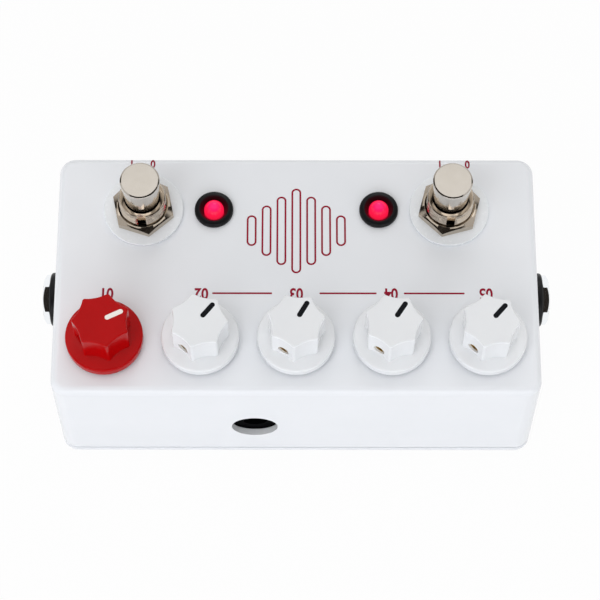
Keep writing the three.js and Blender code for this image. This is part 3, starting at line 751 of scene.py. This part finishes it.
def make_knob():
    knob = turned("knob", [
        (0, RECESS_DEPTH), (RECESS_RADIUS, RECESS_DEPTH), (RECESS_RADIUS, 0.15), (RECESS_RADIUS + 0.15, 0),
        *arc((SKIRT_RADIUS - FOOT_ROUND, FOOT_ROUND), FOOT_ROUND, -90, 0, 3),
        *arc((SKIRT_RADIUS - RIM_ROUND, RIM), RIM_ROUND, 0, 80, 6),
        (GRIP_RADIUS, SLOPE_TOP), (5.8, SLOPE_TOP + 0.4), (0, SLOPE_TOP + 0.4),
    ], steps=96)
    combine(knob, make_grip(RECESS_DEPTH + 0.3), "UNION")
    socket_top = box_mm("knob_insert_1")[1].z - box_mm("knob_1")[0].z + 0.25
    combine(knob, rod("socket", SOCKET_RADIUS, socket_top + 1, (0, 0, (socket_top - 1) / 2)))
    combine(knob, rod("screw_way", SCREW_WAY, 8, (-GRIP_RADIUS, 0, SCREW_HEIGHT), ALONG_X, sides=40))
    groove = slot_bar("groove", POINTER_WIDTH, KNOB_HEIGHT - GROOVE_DEPTH, KNOB_HEIGHT + 1)
    return combine(knob, groove)


knob = make_knob()
pointer = slot_bar(
    "pointer", POINTER_WIDTH - 0.04, KNOB_HEIGHT - GROOVE_DEPTH - 0.05, KNOB_HEIGHT - 0.06)

# %% [markdown]
# The set screw is a short brass grub screw with a hexagon socket. It stands in the knob's
# side hole and bites on the shaft, and only its outer end shows. The insert's brass sleeve
# lines the hole, which gives the hole its golden brown.

# %% Knob: set screw
GRUB_RADIUS = 1.2
GRUB_LENGTH = 1.7
GRUB_START = 3.375
HEXAGON_RADIUS = 0.65
HEXAGON_DEPTH = 0.8
SLEEVE = (SOCKET_RADIUS, 5.65)
SLEEVE_BORE = 1.28


def side_rod(name, radius, start, end, sides=40):
    """A bar in the screw's hole between two distances from the knob's axis."""
    return rod(name, radius, end - start, (-(start + end) / 2, 0, SCREW_HEIGHT), ALONG_X, sides)


grub_end = GRUB_START + GRUB_LENGTH
grub = side_rod("set_screw", GRUB_RADIUS, GRUB_START, grub_end)
bevel_edges(grub, lambda a, b: max(a.x, b.x) < -(grub_end - 0.1), 0.15, 2)
hexagon_start = grub_end - HEXAGON_DEPTH
combine(grub, side_rod("hexagon", HEXAGON_RADIUS, hexagon_start, hexagon_start + 2, sides=6))
sleeve = side_rod("sleeve", SCREW_WAY - 0.01, *SLEEVE)
combine(sleeve, side_rod("sleeve_bore", SLEEVE_BORE, SLEEVE[0] - 1.4, SLEEVE[1] + 1.4))
combine(grub, sleeve, "UNION")

# %% [markdown]
# The row of knobs: each copy is turned to where its pointer stands. The direction comes from
# the set screw's node, which sits opposite the pointer.

# %% Knobs in their row
RED_KNOB = (red_abs, "red_plastic", white_ink, "white_plastic")
WHITE_KNOB = (white_abs, "white_plastic", black_ink, "black_plastic")
knob_foot = box_mm("knob_1")[0].z
for count in range(1, 6):
    axis = middle_mm(f"knob_insert_{count}")
    away = axis - middle_mm(f"knob_set_screw_{count}")
    turn = math.degrees(math.atan2(away.y, away.x))
    place = (axis.x, axis.y, knob_foot)
    body = f"dial_{count}"
    plastic, plastic_slot, ink, ink_slot = RED_KNOB if count == 1 else WHITE_KNOB
    cap = smooth(copied(knob, f"fluted_knob_{count}", place, turn))
    dress(cap, plastic, plastic_slot, body, f"knob_{count}")
    mark = smooth(copied(pointer, f"pointer_mark_{count}", place, turn))
    dress(mark, ink, ink_slot, body)
    holder = smooth(copied(grub, f"grub_screw_{count}", place, turn))
    dress(holder, turned_brass, "brass", body, f"knob_set_screw_{count}")
discard(knob, pointer, grub)

# %% [markdown]
# A footswitch is mounted like a tap: a threaded bushing comes up through the panel, and a hex
# nut on a nylon washer clamps it. The thread is a turned bar whose points are moved in and
# out by a formula of height and angle, so it is a true helix.

# %% Footswitch: thread
THREAD_PITCH = 1.0
THREAD_DEPTH = 0.32
THREAD_RUNOUT = 0.6


def cut_thread(piece, radius, low, high):
    """Moves the outer wall's points into a helical thread between two heights."""
    for point in piece.data.vertices:
        at = point.co / MM
        if abs(at.xy.length - radius) > 0.01 or not low <= at.z <= high:
            continue
        share = (at.z / THREAD_PITCH - math.atan2(at.y, at.x) / (2 * math.pi)) % 1
        fade = min(1, (at.z - low) / THREAD_RUNOUT, (high - at.z) / THREAD_RUNOUT)
        depth = THREAD_DEPTH * abs(2 * share - 1) * fade
        point.co.xy = at.xy * ((radius - depth) / radius) * MM


# %% [markdown]
# The bushing's mouth has an inner chamfer and a flat ring, and a keyway runs down its front.
# Below the panel it stands on the square frame that holds the switch together.

# %% Footswitch: bushing
BUSHING_RADIUS = 5.9
BUSHING_BORE = 4.6
RING_STEP = 0.14
MOUTH_WIDTH = 0.9
MOUTH_DEPTH = 0.45
FRAME_HALF = 8.6
FRAME_HEIGHT = 1.2
KEY_HALF_WIDTH = 1.05
bushing_low, bushing_high = box_mm("footswitch_bushing_left")


def make_bushing():
    top = bushing_high.z
    foot = bushing_low.z
    rings = int((top - foot - 1.0) / RING_STEP)
    wall = [(BUSHING_RADIUS, foot + (top - 0.4 - foot) * ring / rings) for ring in range(rings + 1)]
    bushing = turned("bushing", [
        (BUSHING_BORE, foot), *wall, (BUSHING_RADIUS - 0.12, top - 0.12), (BUSHING_RADIUS - 0.3, top),
        (BUSHING_BORE + MOUTH_WIDTH, top), (BUSHING_BORE, top - MOUTH_DEPTH), (BUSHING_BORE, foot),
    ], steps=80)
    cut_thread(bushing, BUSHING_RADIUS, PANEL - 1, top - 0.5)
    plate = brick("frame", (-FRAME_HALF, -FRAME_HALF, foot), (FRAME_HALF, FRAME_HALF, foot + FRAME_HEIGHT))
    bevel_edges(plate, lambda a, b: abs(a.z - b.z) > 1, 0.35, 3)
    combine(plate, rod("bore", BUSHING_BORE, 4, (0, 0, foot)))
    combine(bushing, plate, "UNION")
    keyway = brick("keyway", (-KEY_HALF_WIDTH, -8, PANEL - 2), (KEY_HALF_WIDTH, -5.1, top + 1))
    return combine(bushing, keyway)


bushing = make_bushing()

# %% [markdown]
# The cap is a turned button that narrows downwards. Its top is very slightly crowned, and its
# edge, broken and rounded, catches the dark of the room as a thin line.

# %% Footswitch: cap
CAP_RADIUS = 4.95
CAP_FOOT_RADIUS = 4.3
CAP_ROUND = 0.18
CAP_BREAK = 0.42
CAP_SLOPE = math.radians(26)
CROWN = 0.08
cap_low, cap_high = box_mm("footswitch_button_left")


def make_cap():
    top = cap_high.z
    crown = top - CROWN
    fall = (CAP_BREAK - CAP_ROUND * (1 - math.sin(CAP_SLOPE))) * math.tan(CAP_SLOPE)
    shoulder = crown - fall - CAP_ROUND * math.cos(CAP_SLOPE)
    return turned("cap", [
        (0, cap_low.z), (CAP_FOOT_RADIUS - 0.3, cap_low.z), (CAP_FOOT_RADIUS, cap_low.z + 0.3),
        (CAP_FOOT_RADIUS, bushing_high.z),
        *[(CAP_FOOT_RADIUS + (CAP_RADIUS - CAP_FOOT_RADIUS) * share,
           bushing_high.z + (shoulder - bushing_high.z) * share) for share in (0.33, 0.66)],
        *arc((CAP_RADIUS - CAP_ROUND, shoulder), CAP_ROUND, 0, 90 - math.degrees(CAP_SLOPE), 5),
        (CAP_RADIUS - CAP_BREAK, crown), (3.2, top - 0.03), (1.6, top - 0.008), (0, top),
    ], steps=96)


# %% [markdown]
# Nuts start as a six-sided bar. A turned blank with a chamfered top takes their corners off
# where it meets them, which leaves the curved edge that every machined nut has.

# %% Nuts
NUT_CHAMFER = math.radians(30)
MOUTH_BREAK = 0.35


def make_nut(name, flats, height, bore, face_inset):
    """A nut on the ground plane with its chamfer up."""
    corner = flats / 2 / math.cos(math.pi / 6)
    face = flats / 2 - face_inset
    drop = (corner + 0.1 - face) * math.tan(NUT_CHAMFER)
    nut = rod(name, corner, height, (0, 0, height / 2), sides=6)
    blank = turned("blank", [
        (0, 0), (corner - 0.12, 0), (corner + 0.1, 0.15), (corner + 0.1, height - drop),
        (face, height), (0, height)], steps=96)
    combine(nut, blank, "INTERSECT")
    mouth = turned("mouth", [
        (0, -1), (bore, -1), (bore, height - 0.3), (bore + MOUTH_BREAK, height),
        (bore + MOUTH_BREAK, height + 1), (0, height + 1)], steps=80)
    return combine(nut, mouth)


# %% [markdown]
# The washer is soft nylon, turned with a slightly raised middle ring where the nut presses.
# The nut is turned to the angle that it was left at, which comes from its node's corners.

# %% Footswitches in place
def make_washer(radius, height, bore):
    return turned("washer", [
        (bore, 0), (radius - 0.15, 0), *arc((radius - 0.3, height - 0.45), 0.3, 0, 90, 4),
        (8.4, height - 0.15), (8.1, height), (bore, height), (bore, 0)], steps=96)


def corner_angle(mesh, centre):
    """Where a nut's farthest corner points to in plan, in degrees."""
    corner = max((point.co / MM - centre for point in mesh.vertices), key=lambda at: at.xy.length)
    return math.degrees(math.atan2(corner.y, corner.x))


def nut_turn(made, node):
    """How far a new nut has to be turned for its corners to stand where its node's do."""
    there = corner_angle(frame["nodes"][node].data, middle_mm(node))
    return there - corner_angle(made.data, Vector((0, 0, 0)))


cap = make_cap()
foot_nut = make_nut("foot_nut", flats=14, height=2.4, bore=6.0, face_inset=0.6)
washer = make_washer(radius=10.05, height=1.2, bore=SWITCH_HOLE)
for side in SIDES:
    axis = middle_mm(f"footswitch_button_{side}")
    button = smooth(copied(cap, f"press_cap_{side}", (axis.x, axis.y, 0)), 20)
    dress(button, nickel, "nickel_plate", f"button_{side}", f"footswitch_button_{side}")
    barrel = smooth(copied(bushing, f"threaded_bushing_{side}", (axis.x, axis.y, 0)))
    dress(barrel, mounting_nickel, "nickel_plate", "root", f"footswitch_bushing_{side}")
    nut_node = f"footswitch_nut_{side}"
    place = (axis.x, axis.y, box_mm(nut_node)[0].z)
    nut = smooth(copied(foot_nut, f"hex_nut_{side}", place, nut_turn(foot_nut, nut_node)))
    dress(nut, mounting_nickel, "nickel_plate", "root", nut_node)
    ring = smooth(copied(washer, f"nylon_washer_{side}", (axis.x, axis.y, PANEL)))
    dress(ring, nylon, "clear_nylon", "root", f"footswitch_washer_{side}")
discard(cap, bushing, foot_nut, washer)

# %% [markdown]
# The lamp is a five millimetre diode in a snap-in bezel. The bezel is a turned ring whose
# flange slopes away from the lens outside and down to it inside, and the lens is a turned dome.

# %% Lamps
BEZEL_BORE = 2.8
BEZEL_BARREL = 3.85
BEZEL_DEPTH = 7
LENS_RADIUS = 2.5
LENS_FOOT = -5.1
GLOW_HEIGHT = 1.0
flange = box_mm("lamp_bezel_left")[1].z - PANEL


def make_bezel():
    return turned("bezel", [
        (BEZEL_BORE, -BEZEL_DEPTH), (BEZEL_BARREL, -BEZEL_DEPTH), (BEZEL_BARREL, 0), (4.78, 0),
        *arc((4.7, 0.2), 0.2, -60, 20, 3), *arc((4.0, 0.6), 0.9, 8, 60, 6), (4.0, flange - 0.06),
        (BEZEL_BARREL, flange), (3.7, flange), (3.58, flange - 0.1), (BEZEL_BORE + 0.02, 0.36),
        (BEZEL_BORE, 0.2), (BEZEL_BORE, -BEZEL_DEPTH)], steps=80)


def make_lens():
    return turned("lens", [
        (0, LENS_FOOT), (LENS_RADIUS, LENS_FOOT), *arc((0, 0.3), LENS_RADIUS, 0, 90, 14)], steps=64)


bezel = make_bezel()
lens = make_lens()
for side in SIDES:
    axis = middle_mm(f"lamp_bezel_{side}")
    place = (axis.x, axis.y, PANEL)
    ring = smooth(copied(bezel, f"lamp_ring_{side}", place))
    dress(ring, black_plastic, "black_plastic", "root", f"lamp_bezel_{side}")
    glow = lit_lens(f"lit_red_epoxy_{side}_lens", Vector((axis.x, axis.y, PANEL + GLOW_HEIGHT)))
    dome = smooth(copied(lens, f"lamp_lens_{side}", place))
    dress(dome, glow, "red_lens", "root", f"lamp_{side}")
discard(bezel, lens)

# %% [markdown]
# Each end wall carries a quarter-inch jack: a black threaded barrel with its bore, a black
# spacer and a thin hex nut. They are modelled upright, with up standing for outwards, and
# then laid over onto the wall. The moulded body behind the wall is a bevelled brick.

# %% Jacks
BARREL_RADIUS = 4.5
BARREL_RINGS = 58
THREAD_END = 6.45
PLUG_BORE = 3.3
TAG_PLACES = (-4.6, 0, 4.6)
JACK_NUT_TURN = 23


def lay_on_wall(piece, sign, node, foot_x):
    """Lays an upright piece over onto the right wall (sign 1) or the left one (sign -1)."""
    middle = middle_mm(node)
    piece.rotation_euler = (0, sign * math.pi / 2, 0)
    piece.location = Vector((foot_x, middle.y, middle.z)) * MM
    return smooth(settle(piece))


def end_x(node, sign):
    """The X of a node's box that lies farthest to the given side."""
    low, high = box_mm(node)
    return high.x if sign > 0 else low.x


def make_spacer(radius, height, bore):
    return turned("spacer", [
        (bore, 0), (radius - 0.1, 0), (radius, 0.1), (radius, height - 0.7),
        *arc((radius - 0.7, height - 0.7), 0.7, 12, 78, 5), (radius - 0.75, height), (bore, height),
        (bore, 0)], steps=96)


def make_jack():
    rings = [-2 + (THREAD_END + 1.7) * ring / BARREL_RINGS for ring in range(BARREL_RINGS + 1)]
    jack = turned("jack", [
        (0, -2), *[(BARREL_RADIUS, height) for height in rings],
        (BARREL_RADIUS - 0.3, THREAD_END), (0, THREAD_END)], steps=72)
    cut_thread(jack, BARREL_RADIUS, 0.4, THREAD_END - 0.4)
    low, high = box_mm("jack_body_right")
    half_y, half_z = (high.y - low.y) / 2, (high.z - low.z) / 2
    case = brick("case", (-half_z, -half_y, -23), (half_z, half_y, -0.15))
    bevel_edges(case, lambda a, b: True, 0.8, 3)
    combine(jack, case, "UNION")
    for y in TAG_PLACES:
        combine(jack, brick("tag", (-0.4, y - 1.2, -26.5), (0.4, y + 1.2, -22)), "UNION")
    bore = turned("bore", [
        (0, -21), (PLUG_BORE, -21), (PLUG_BORE, THREAD_END - 0.4), (PLUG_BORE + 0.4, THREAD_END),
        (PLUG_BORE + 0.4, 8), (0, 8)], steps=72)
    return combine(jack, bore)


jack = make_jack()
spacer = make_spacer(radius=6.95, height=2.85, bore=4.7)
jack_nut = make_nut("jack_nut", flats=11.1, height=1.6, bore=4.6, face_inset=0.2)
for side, sign in (("left", -1), ("right", 1)):
    node = f"jack_body_{side}"
    wall_x = end_x(node, sign) - sign * THREAD_END
    body = lay_on_wall(copied(jack, f"jack_barrel_{side}"), sign, node, wall_x)
    dress(body, black_plastic, "black_plastic", "root", node)
    node = f"jack_spacer_{side}"
    collar = lay_on_wall(copied(spacer, f"wall_spacer_{side}"), sign, node, end_x(node, -sign))
    dress(collar, black_plastic, "black_plastic", "root", node)
    node = f"jack_nut_{side}"
    nut = copied(jack_nut, f"thin_nut_{side}", turn=sign * JACK_NUT_TURN)
    nut = lay_on_wall(nut, sign, node, end_x(node, -sign))
    dress(nut, chrome, "nickel_plate", "root", node)
discard(jack, spacer, jack_nut)

# %% [markdown]
# The power socket sits on the board's underside behind the round hole. Through the hole its
# black flange, its bore and the bright centre pin can be seen. The flange is wider than the hole
# and stands just behind the wall, a black disc that paints the shade inside the box.

# %% Power socket
SHADE_FLANGE_RADIUS = 6.3
SOCKET_BORE = 3.1
PIN_RADIUS = 1.0
PIN_START = 1.2


def socket_rod(name, radius, start, end, sides):
    """A bar on the socket's axis between two distances behind its front face."""
    middle = (socket.x, socket_low.y + (start + end) / 2, socket_z)
    return rod(name, radius, end - start, middle, ALONG_Y, sides)


socket_case = brick("socket_case", socket_low, socket_high)
bevel_edges(socket_case, lambda a, b: True, 0.5, 3)
# The wide flange is painted shade: it fills the hole with black where the box's inside lies in shade.
combine(socket_case, socket_rod("flange", SHADE_FLANGE_RADIUS, -1.6, 0.1, 80), "UNION")
combine(socket_case, socket_rod("bore", SOCKET_BORE, -5.5, 9.5, 64))
dress(smooth(socket_case), socket_shade_black, "black_plastic", "root", "power_socket")
pin = socket_rod("socket_pin", PIN_RADIUS, PIN_START, PIN_START + 9, 40)
bevel_edges(pin, lambda a, b: max(a.y, b.y) < socket_low.y + PIN_START + 0.1, 0.35, 4)
dress(smooth(pin), nickel, "nickel_plate", "root")

# %% [markdown]
# Legends are screen printed on the finished box. Each is a very thin raised shape: numerals
# over the controls, thin rules between them and a line drawing between the lamps, here seven
# outlined bars that rise and fall, as an echo does. They face the player, on the far side.

# %% Printed rules
INK = 0.03
LINE = 0.45
LABEL_Y = -5.6
RULE_SPANS = ((-20.9, -6.0), (5.8, 20.0), (26.8, 41.9))


def printed(piece):
    return dress(piece, red_ink, "red_plastic", "root")


for count, (start, end) in enumerate(RULE_SPANS, start=1):
    rule = brick(f"printed_rule_{count}", (start, LABEL_Y - LINE / 2, PANEL),
                 (end, LABEL_Y + LINE / 2, PANEL + INK))
    bevel_edges(rule, lambda a, b: abs(a.z - b.z) > INK / 2, LINE / 3, 3)
    printed(rule)

# %% [markdown]
# A numeral is a text object, set in Blender's own type. It is made a little bolder and
# narrower, pulled up by the ink's thickness and turned into a mesh before its place is applied.

# %% Printed numerals
TYPE_SHARE = 0.72
TYPE_GAIN = 0.038
TYPE_WIDTH = 0.82
LABEL_HEIGHT = 3.0
MARK_HEIGHT = 2.2
MARK_Y = 30.4
MARK_PLACES = {"left": (-36.6, -42.0), "right": (43.6, 36.6)}


def numeral(name, text, middle, height):
    deselect()
    bpy.ops.object.text_add()
    letters = bpy.context.object
    letters.data.body = text
    letters.data.align_x = "CENTER"
    letters.data.align_y = "CENTER"
    letters.data.size = height / TYPE_SHARE * MM
    letters.data.offset = TYPE_GAIN * height * MM
    letters.data.extrude = INK / 2 * MM
    bpy.ops.object.convert(target="MESH")
    letters = named(name)
    letters.scale = (TYPE_WIDTH, 1, 1)
    letters.rotation_euler = (0, 0, math.pi)
    letters.location = Vector((*middle, PANEL + INK / 2)) * MM
    return printed(settle(letters))


for count in range(1, 6):
    axis = middle_mm(f"knob_insert_{count}")
    numeral(f"printed_numeral_{count}", f"0{count}", (axis.x, LABEL_Y), LABEL_HEIGHT)
for side, places in MARK_PLACES.items():
    for text, x in zip("01", places):
        numeral(f"printed_mark_{side}_{text}", text, (x, MARK_Y), MARK_HEIGHT)

# %% [markdown]
# A bar of the drawing starts as a filled circle. Its upper half is moved up and its lower half
# down, which makes a pill. An inset gives the line its width, the middle is deleted, and what
# is left is pulled up by the ink's thickness.

# %% Printed drawing
BAR_HEIGHTS = (8.5, 14.0, 19.0, 23.5, 19.0, 14.0, 8.5)
BAR_PITCH = 3.75
BAR_WIDTH = 2.5
ART_Y = 11.6
art_middle = (middle_mm("lamp_bezel_left") + middle_mm("lamp_bezel_right")) / 2


def pill(name, x, height, width):
    deselect()
    bpy.ops.mesh.primitive_circle_add(
        vertices=48, radius=width / 2 * MM, fill_type="NGON", location=(x * MM, ART_Y * MM, PANEL * MM))
    bar = settle(named(name))
    rise = (height - width) / 2
    open_piece(bar)
    pick(bar, "VERT", lambda at: at.y > ART_Y)
    bpy.ops.transform.translate(value=(0, rise * MM, 0))
    pick(bar, "VERT", lambda at: at.y <= ART_Y)
    bpy.ops.transform.translate(value=(0, -rise * MM, 0))
    pick(bar, "FACE", lambda at, normal: True)
    bpy.ops.mesh.inset(thickness=LINE * MM)
    bpy.ops.mesh.delete(type="FACE")
    bpy.ops.mesh.select_all(action="SELECT")
    pull_up(INK)
    face_outwards()
    close_piece()
    return printed(bar)


for count, height in enumerate(BAR_HEIGHTS):
    x = art_middle.x + (count - (len(BAR_HEIGHTS) - 1) / 2) * BAR_PITCH
    pill(f"printed_bar_{count + 1}", x, height, BAR_WIDTH)

# %% [markdown]
# The pedal stands on a plain white floor. To the camera, and in metal and plastic, the floor
# shows white, with a trace of the pedal's shadow. To the light it is an ordinary pale floor.

# %% Floor
deselect()
bpy.ops.mesh.primitive_plane_add(size=6, location=(0, 0, 0))
floor = named("floor")
floor_finish = new_finish("white_floor", 0.9, Base_Color=colour("#e6e6e6"))
path = add(floor_finish, "ShaderNodeLightPath", {}).outputs


def floor_math(operation, first, second):
    node = add(floor_finish, "ShaderNodeMath", {0: first, 1: second}, operation=operation)
    return node.outputs["Value"]


seen = floor_math("MAXIMUM", path["Is Camera Ray"], path["Is Glossy Ray"])
seen = floor_math("MAXIMUM", seen, path["Is Transmission Ray"])
share = floor_math("MULTIPLY", seen, 0.96)
white = add(floor_finish, "ShaderNodeEmission", {})
mix = add(floor_finish, "ShaderNodeMixShader", {
    "Fac": share, 1: shader_of(floor_finish).outputs["BSDF"], 2: white.outputs["Emission"]})
surface = floor_finish.node_tree.nodes["Material Output"].inputs["Surface"]
floor_finish.node_tree.links.new(mix.outputs["Shader"], surface)
floor.data.materials.append(floor_finish)

# %% [markdown]
# The camera stands where the photograph's did, worked out from the box's outline: nearly 67
# degrees above the floor and 581 mm away. The lens is given in millimetres for a 36 mm wide
# sensor, and a slight shift puts the pedal where the photograph has it.

# %% Camera
ELEVATION = math.radians(66.798)
YAW = math.radians(0.077)
DISTANCE = 581.28
AIM = Vector((0, 0, 19.65))
FOCAL_PIXELS = 2253.89
IMAGE = 600
SENSOR = 36
SHIFT_PIXELS = (3.77, 3.735)

back = Vector((
    math.sin(YAW) * math.cos(ELEVATION), -math.cos(YAW) * math.cos(ELEVATION), math.sin(ELEVATION)))
deselect()
bpy.ops.object.camera_add(location=(AIM + back * DISTANCE) * MM)
camera = bpy.context.object
camera.name = "camera"
camera.rotation_euler = back.to_track_quat("Z", "Y").to_euler()
camera.data.sensor_width = SENSOR
camera.data.lens = FOCAL_PIXELS / IMAGE * SENSOR
camera.data.shift_x = SHIFT_PIXELS[0] / IMAGE
camera.data.shift_y = SHIFT_PIXELS[1] / IMAGE
camera.data.clip_start = 0.01
bpy.context.scene.camera = camera

# %% [markdown]
# The light is a white tent with a gap where the camera looks in, and darker gaps to the sides.
# Polished metal shows these gaps as its dark lines. A broad soft light in front makes the near
# wall the brightest face, a smaller one overhead gives the pieces their soft shadows, and one
# behind lights the far wall. Two small fills beside the pedal brighten its ends.

# %% Light
world = bpy.data.worlds.new("studio")
bpy.context.scene.world = world
world.use_nodes = True
sky = world.node_tree
direction = add(world, "ShaderNodeTexCoord", {}).outputs["Generated"]
height = add(world, "ShaderNodeSeparateXYZ", {"Vector": direction}).outputs["Z"]
tent = ramped(world, height, ((0.0, "#d6d8da"), (0.42, "#a9a7a4"), (0.9, "#e9e8e6")))


def dark_patch(under, toward, inner, outer):
    """Darkens the sky round a direction, between two angles in degrees."""
    facing = add(world, "ShaderNodeVectorMath", {0: direction, 1: toward}, operation="DOT_PRODUCT")
    share = add(world, "ShaderNodeMapRange", {
        "Value": facing.outputs["Value"],
        "From Min": math.cos(math.radians(outer)), "From Max": math.cos(math.radians(inner))})
    mix = add(world, "ShaderNodeMix", {
        "Factor": share.outputs["Result"], "A": under, "B": colour("#201c19")}, data_type="RGBA")
    return mix.outputs["Result"]


shaded = dark_patch(tent, (0, -0.49, 0.872), 14, 20)
shaded = dark_patch(shaded, (-0.81, 0.32, 0.49), 12, 22)
shaded = dark_patch(shaded, (0.81, 0.3, 0.5), 9, 18)
for side in (-1, 1):
    shaded = dark_patch(shaded, (side * 0.45, -0.38, 0.81), 12, 17)
    shaded = dark_patch(shaded, (side * 0.69, -0.12, 0.71), 13, 18)
background = sky.nodes["Background"]
background.inputs["Strength"].default_value = 1.2
sky.links.new(shaded, background.inputs["Color"])


def soft_light(name, place, width, depth, power, tint, mirrored=True):
    """A rectangular soft light that faces the pedal, in metres and watts."""
    deselect()
    bpy.ops.object.light_add(type="AREA", location=place)
    lamp = bpy.context.object
    lamp.name = name
    lamp.data.shape = "RECTANGLE"
    lamp.data.size = width
    lamp.data.size_y = depth
    lamp.data.energy = power
    lamp.data.color = colour(tint)[:3]
    lamp.visible_camera = False
    lamp.visible_glossy = mirrored
    lamp.rotation_euler = (Vector(place) - AIM * MM).to_track_quat("Z", "Y").to_euler()
    return lamp


soft_light("front_softbox", (0.0, -1.0, 0.4), 1.6, 0.6, 5.0, "#f8faff")
soft_light("top_softbox", (-0.5, -0.5, 0.9), 0.6, 0.6, 2.5, "#fbfcff", mirrored=False)
soft_light("rear_softbox", (0.1, 1.15, 0.8), 0.6, 0.5, 2.2, "#fbfcff")
for side, name in ((-1, "left"), (1, "right")):
    soft_light(f"{name}_fill", (side * 0.15, 0.0, 0.12), 0.12, 0.12, 0.028, "#ffffff")

# %% [markdown]
# Colours are shown as they are written, with the standard view.

# %% Finish
bpy.context.scene.view_settings.view_transform = "Standard"
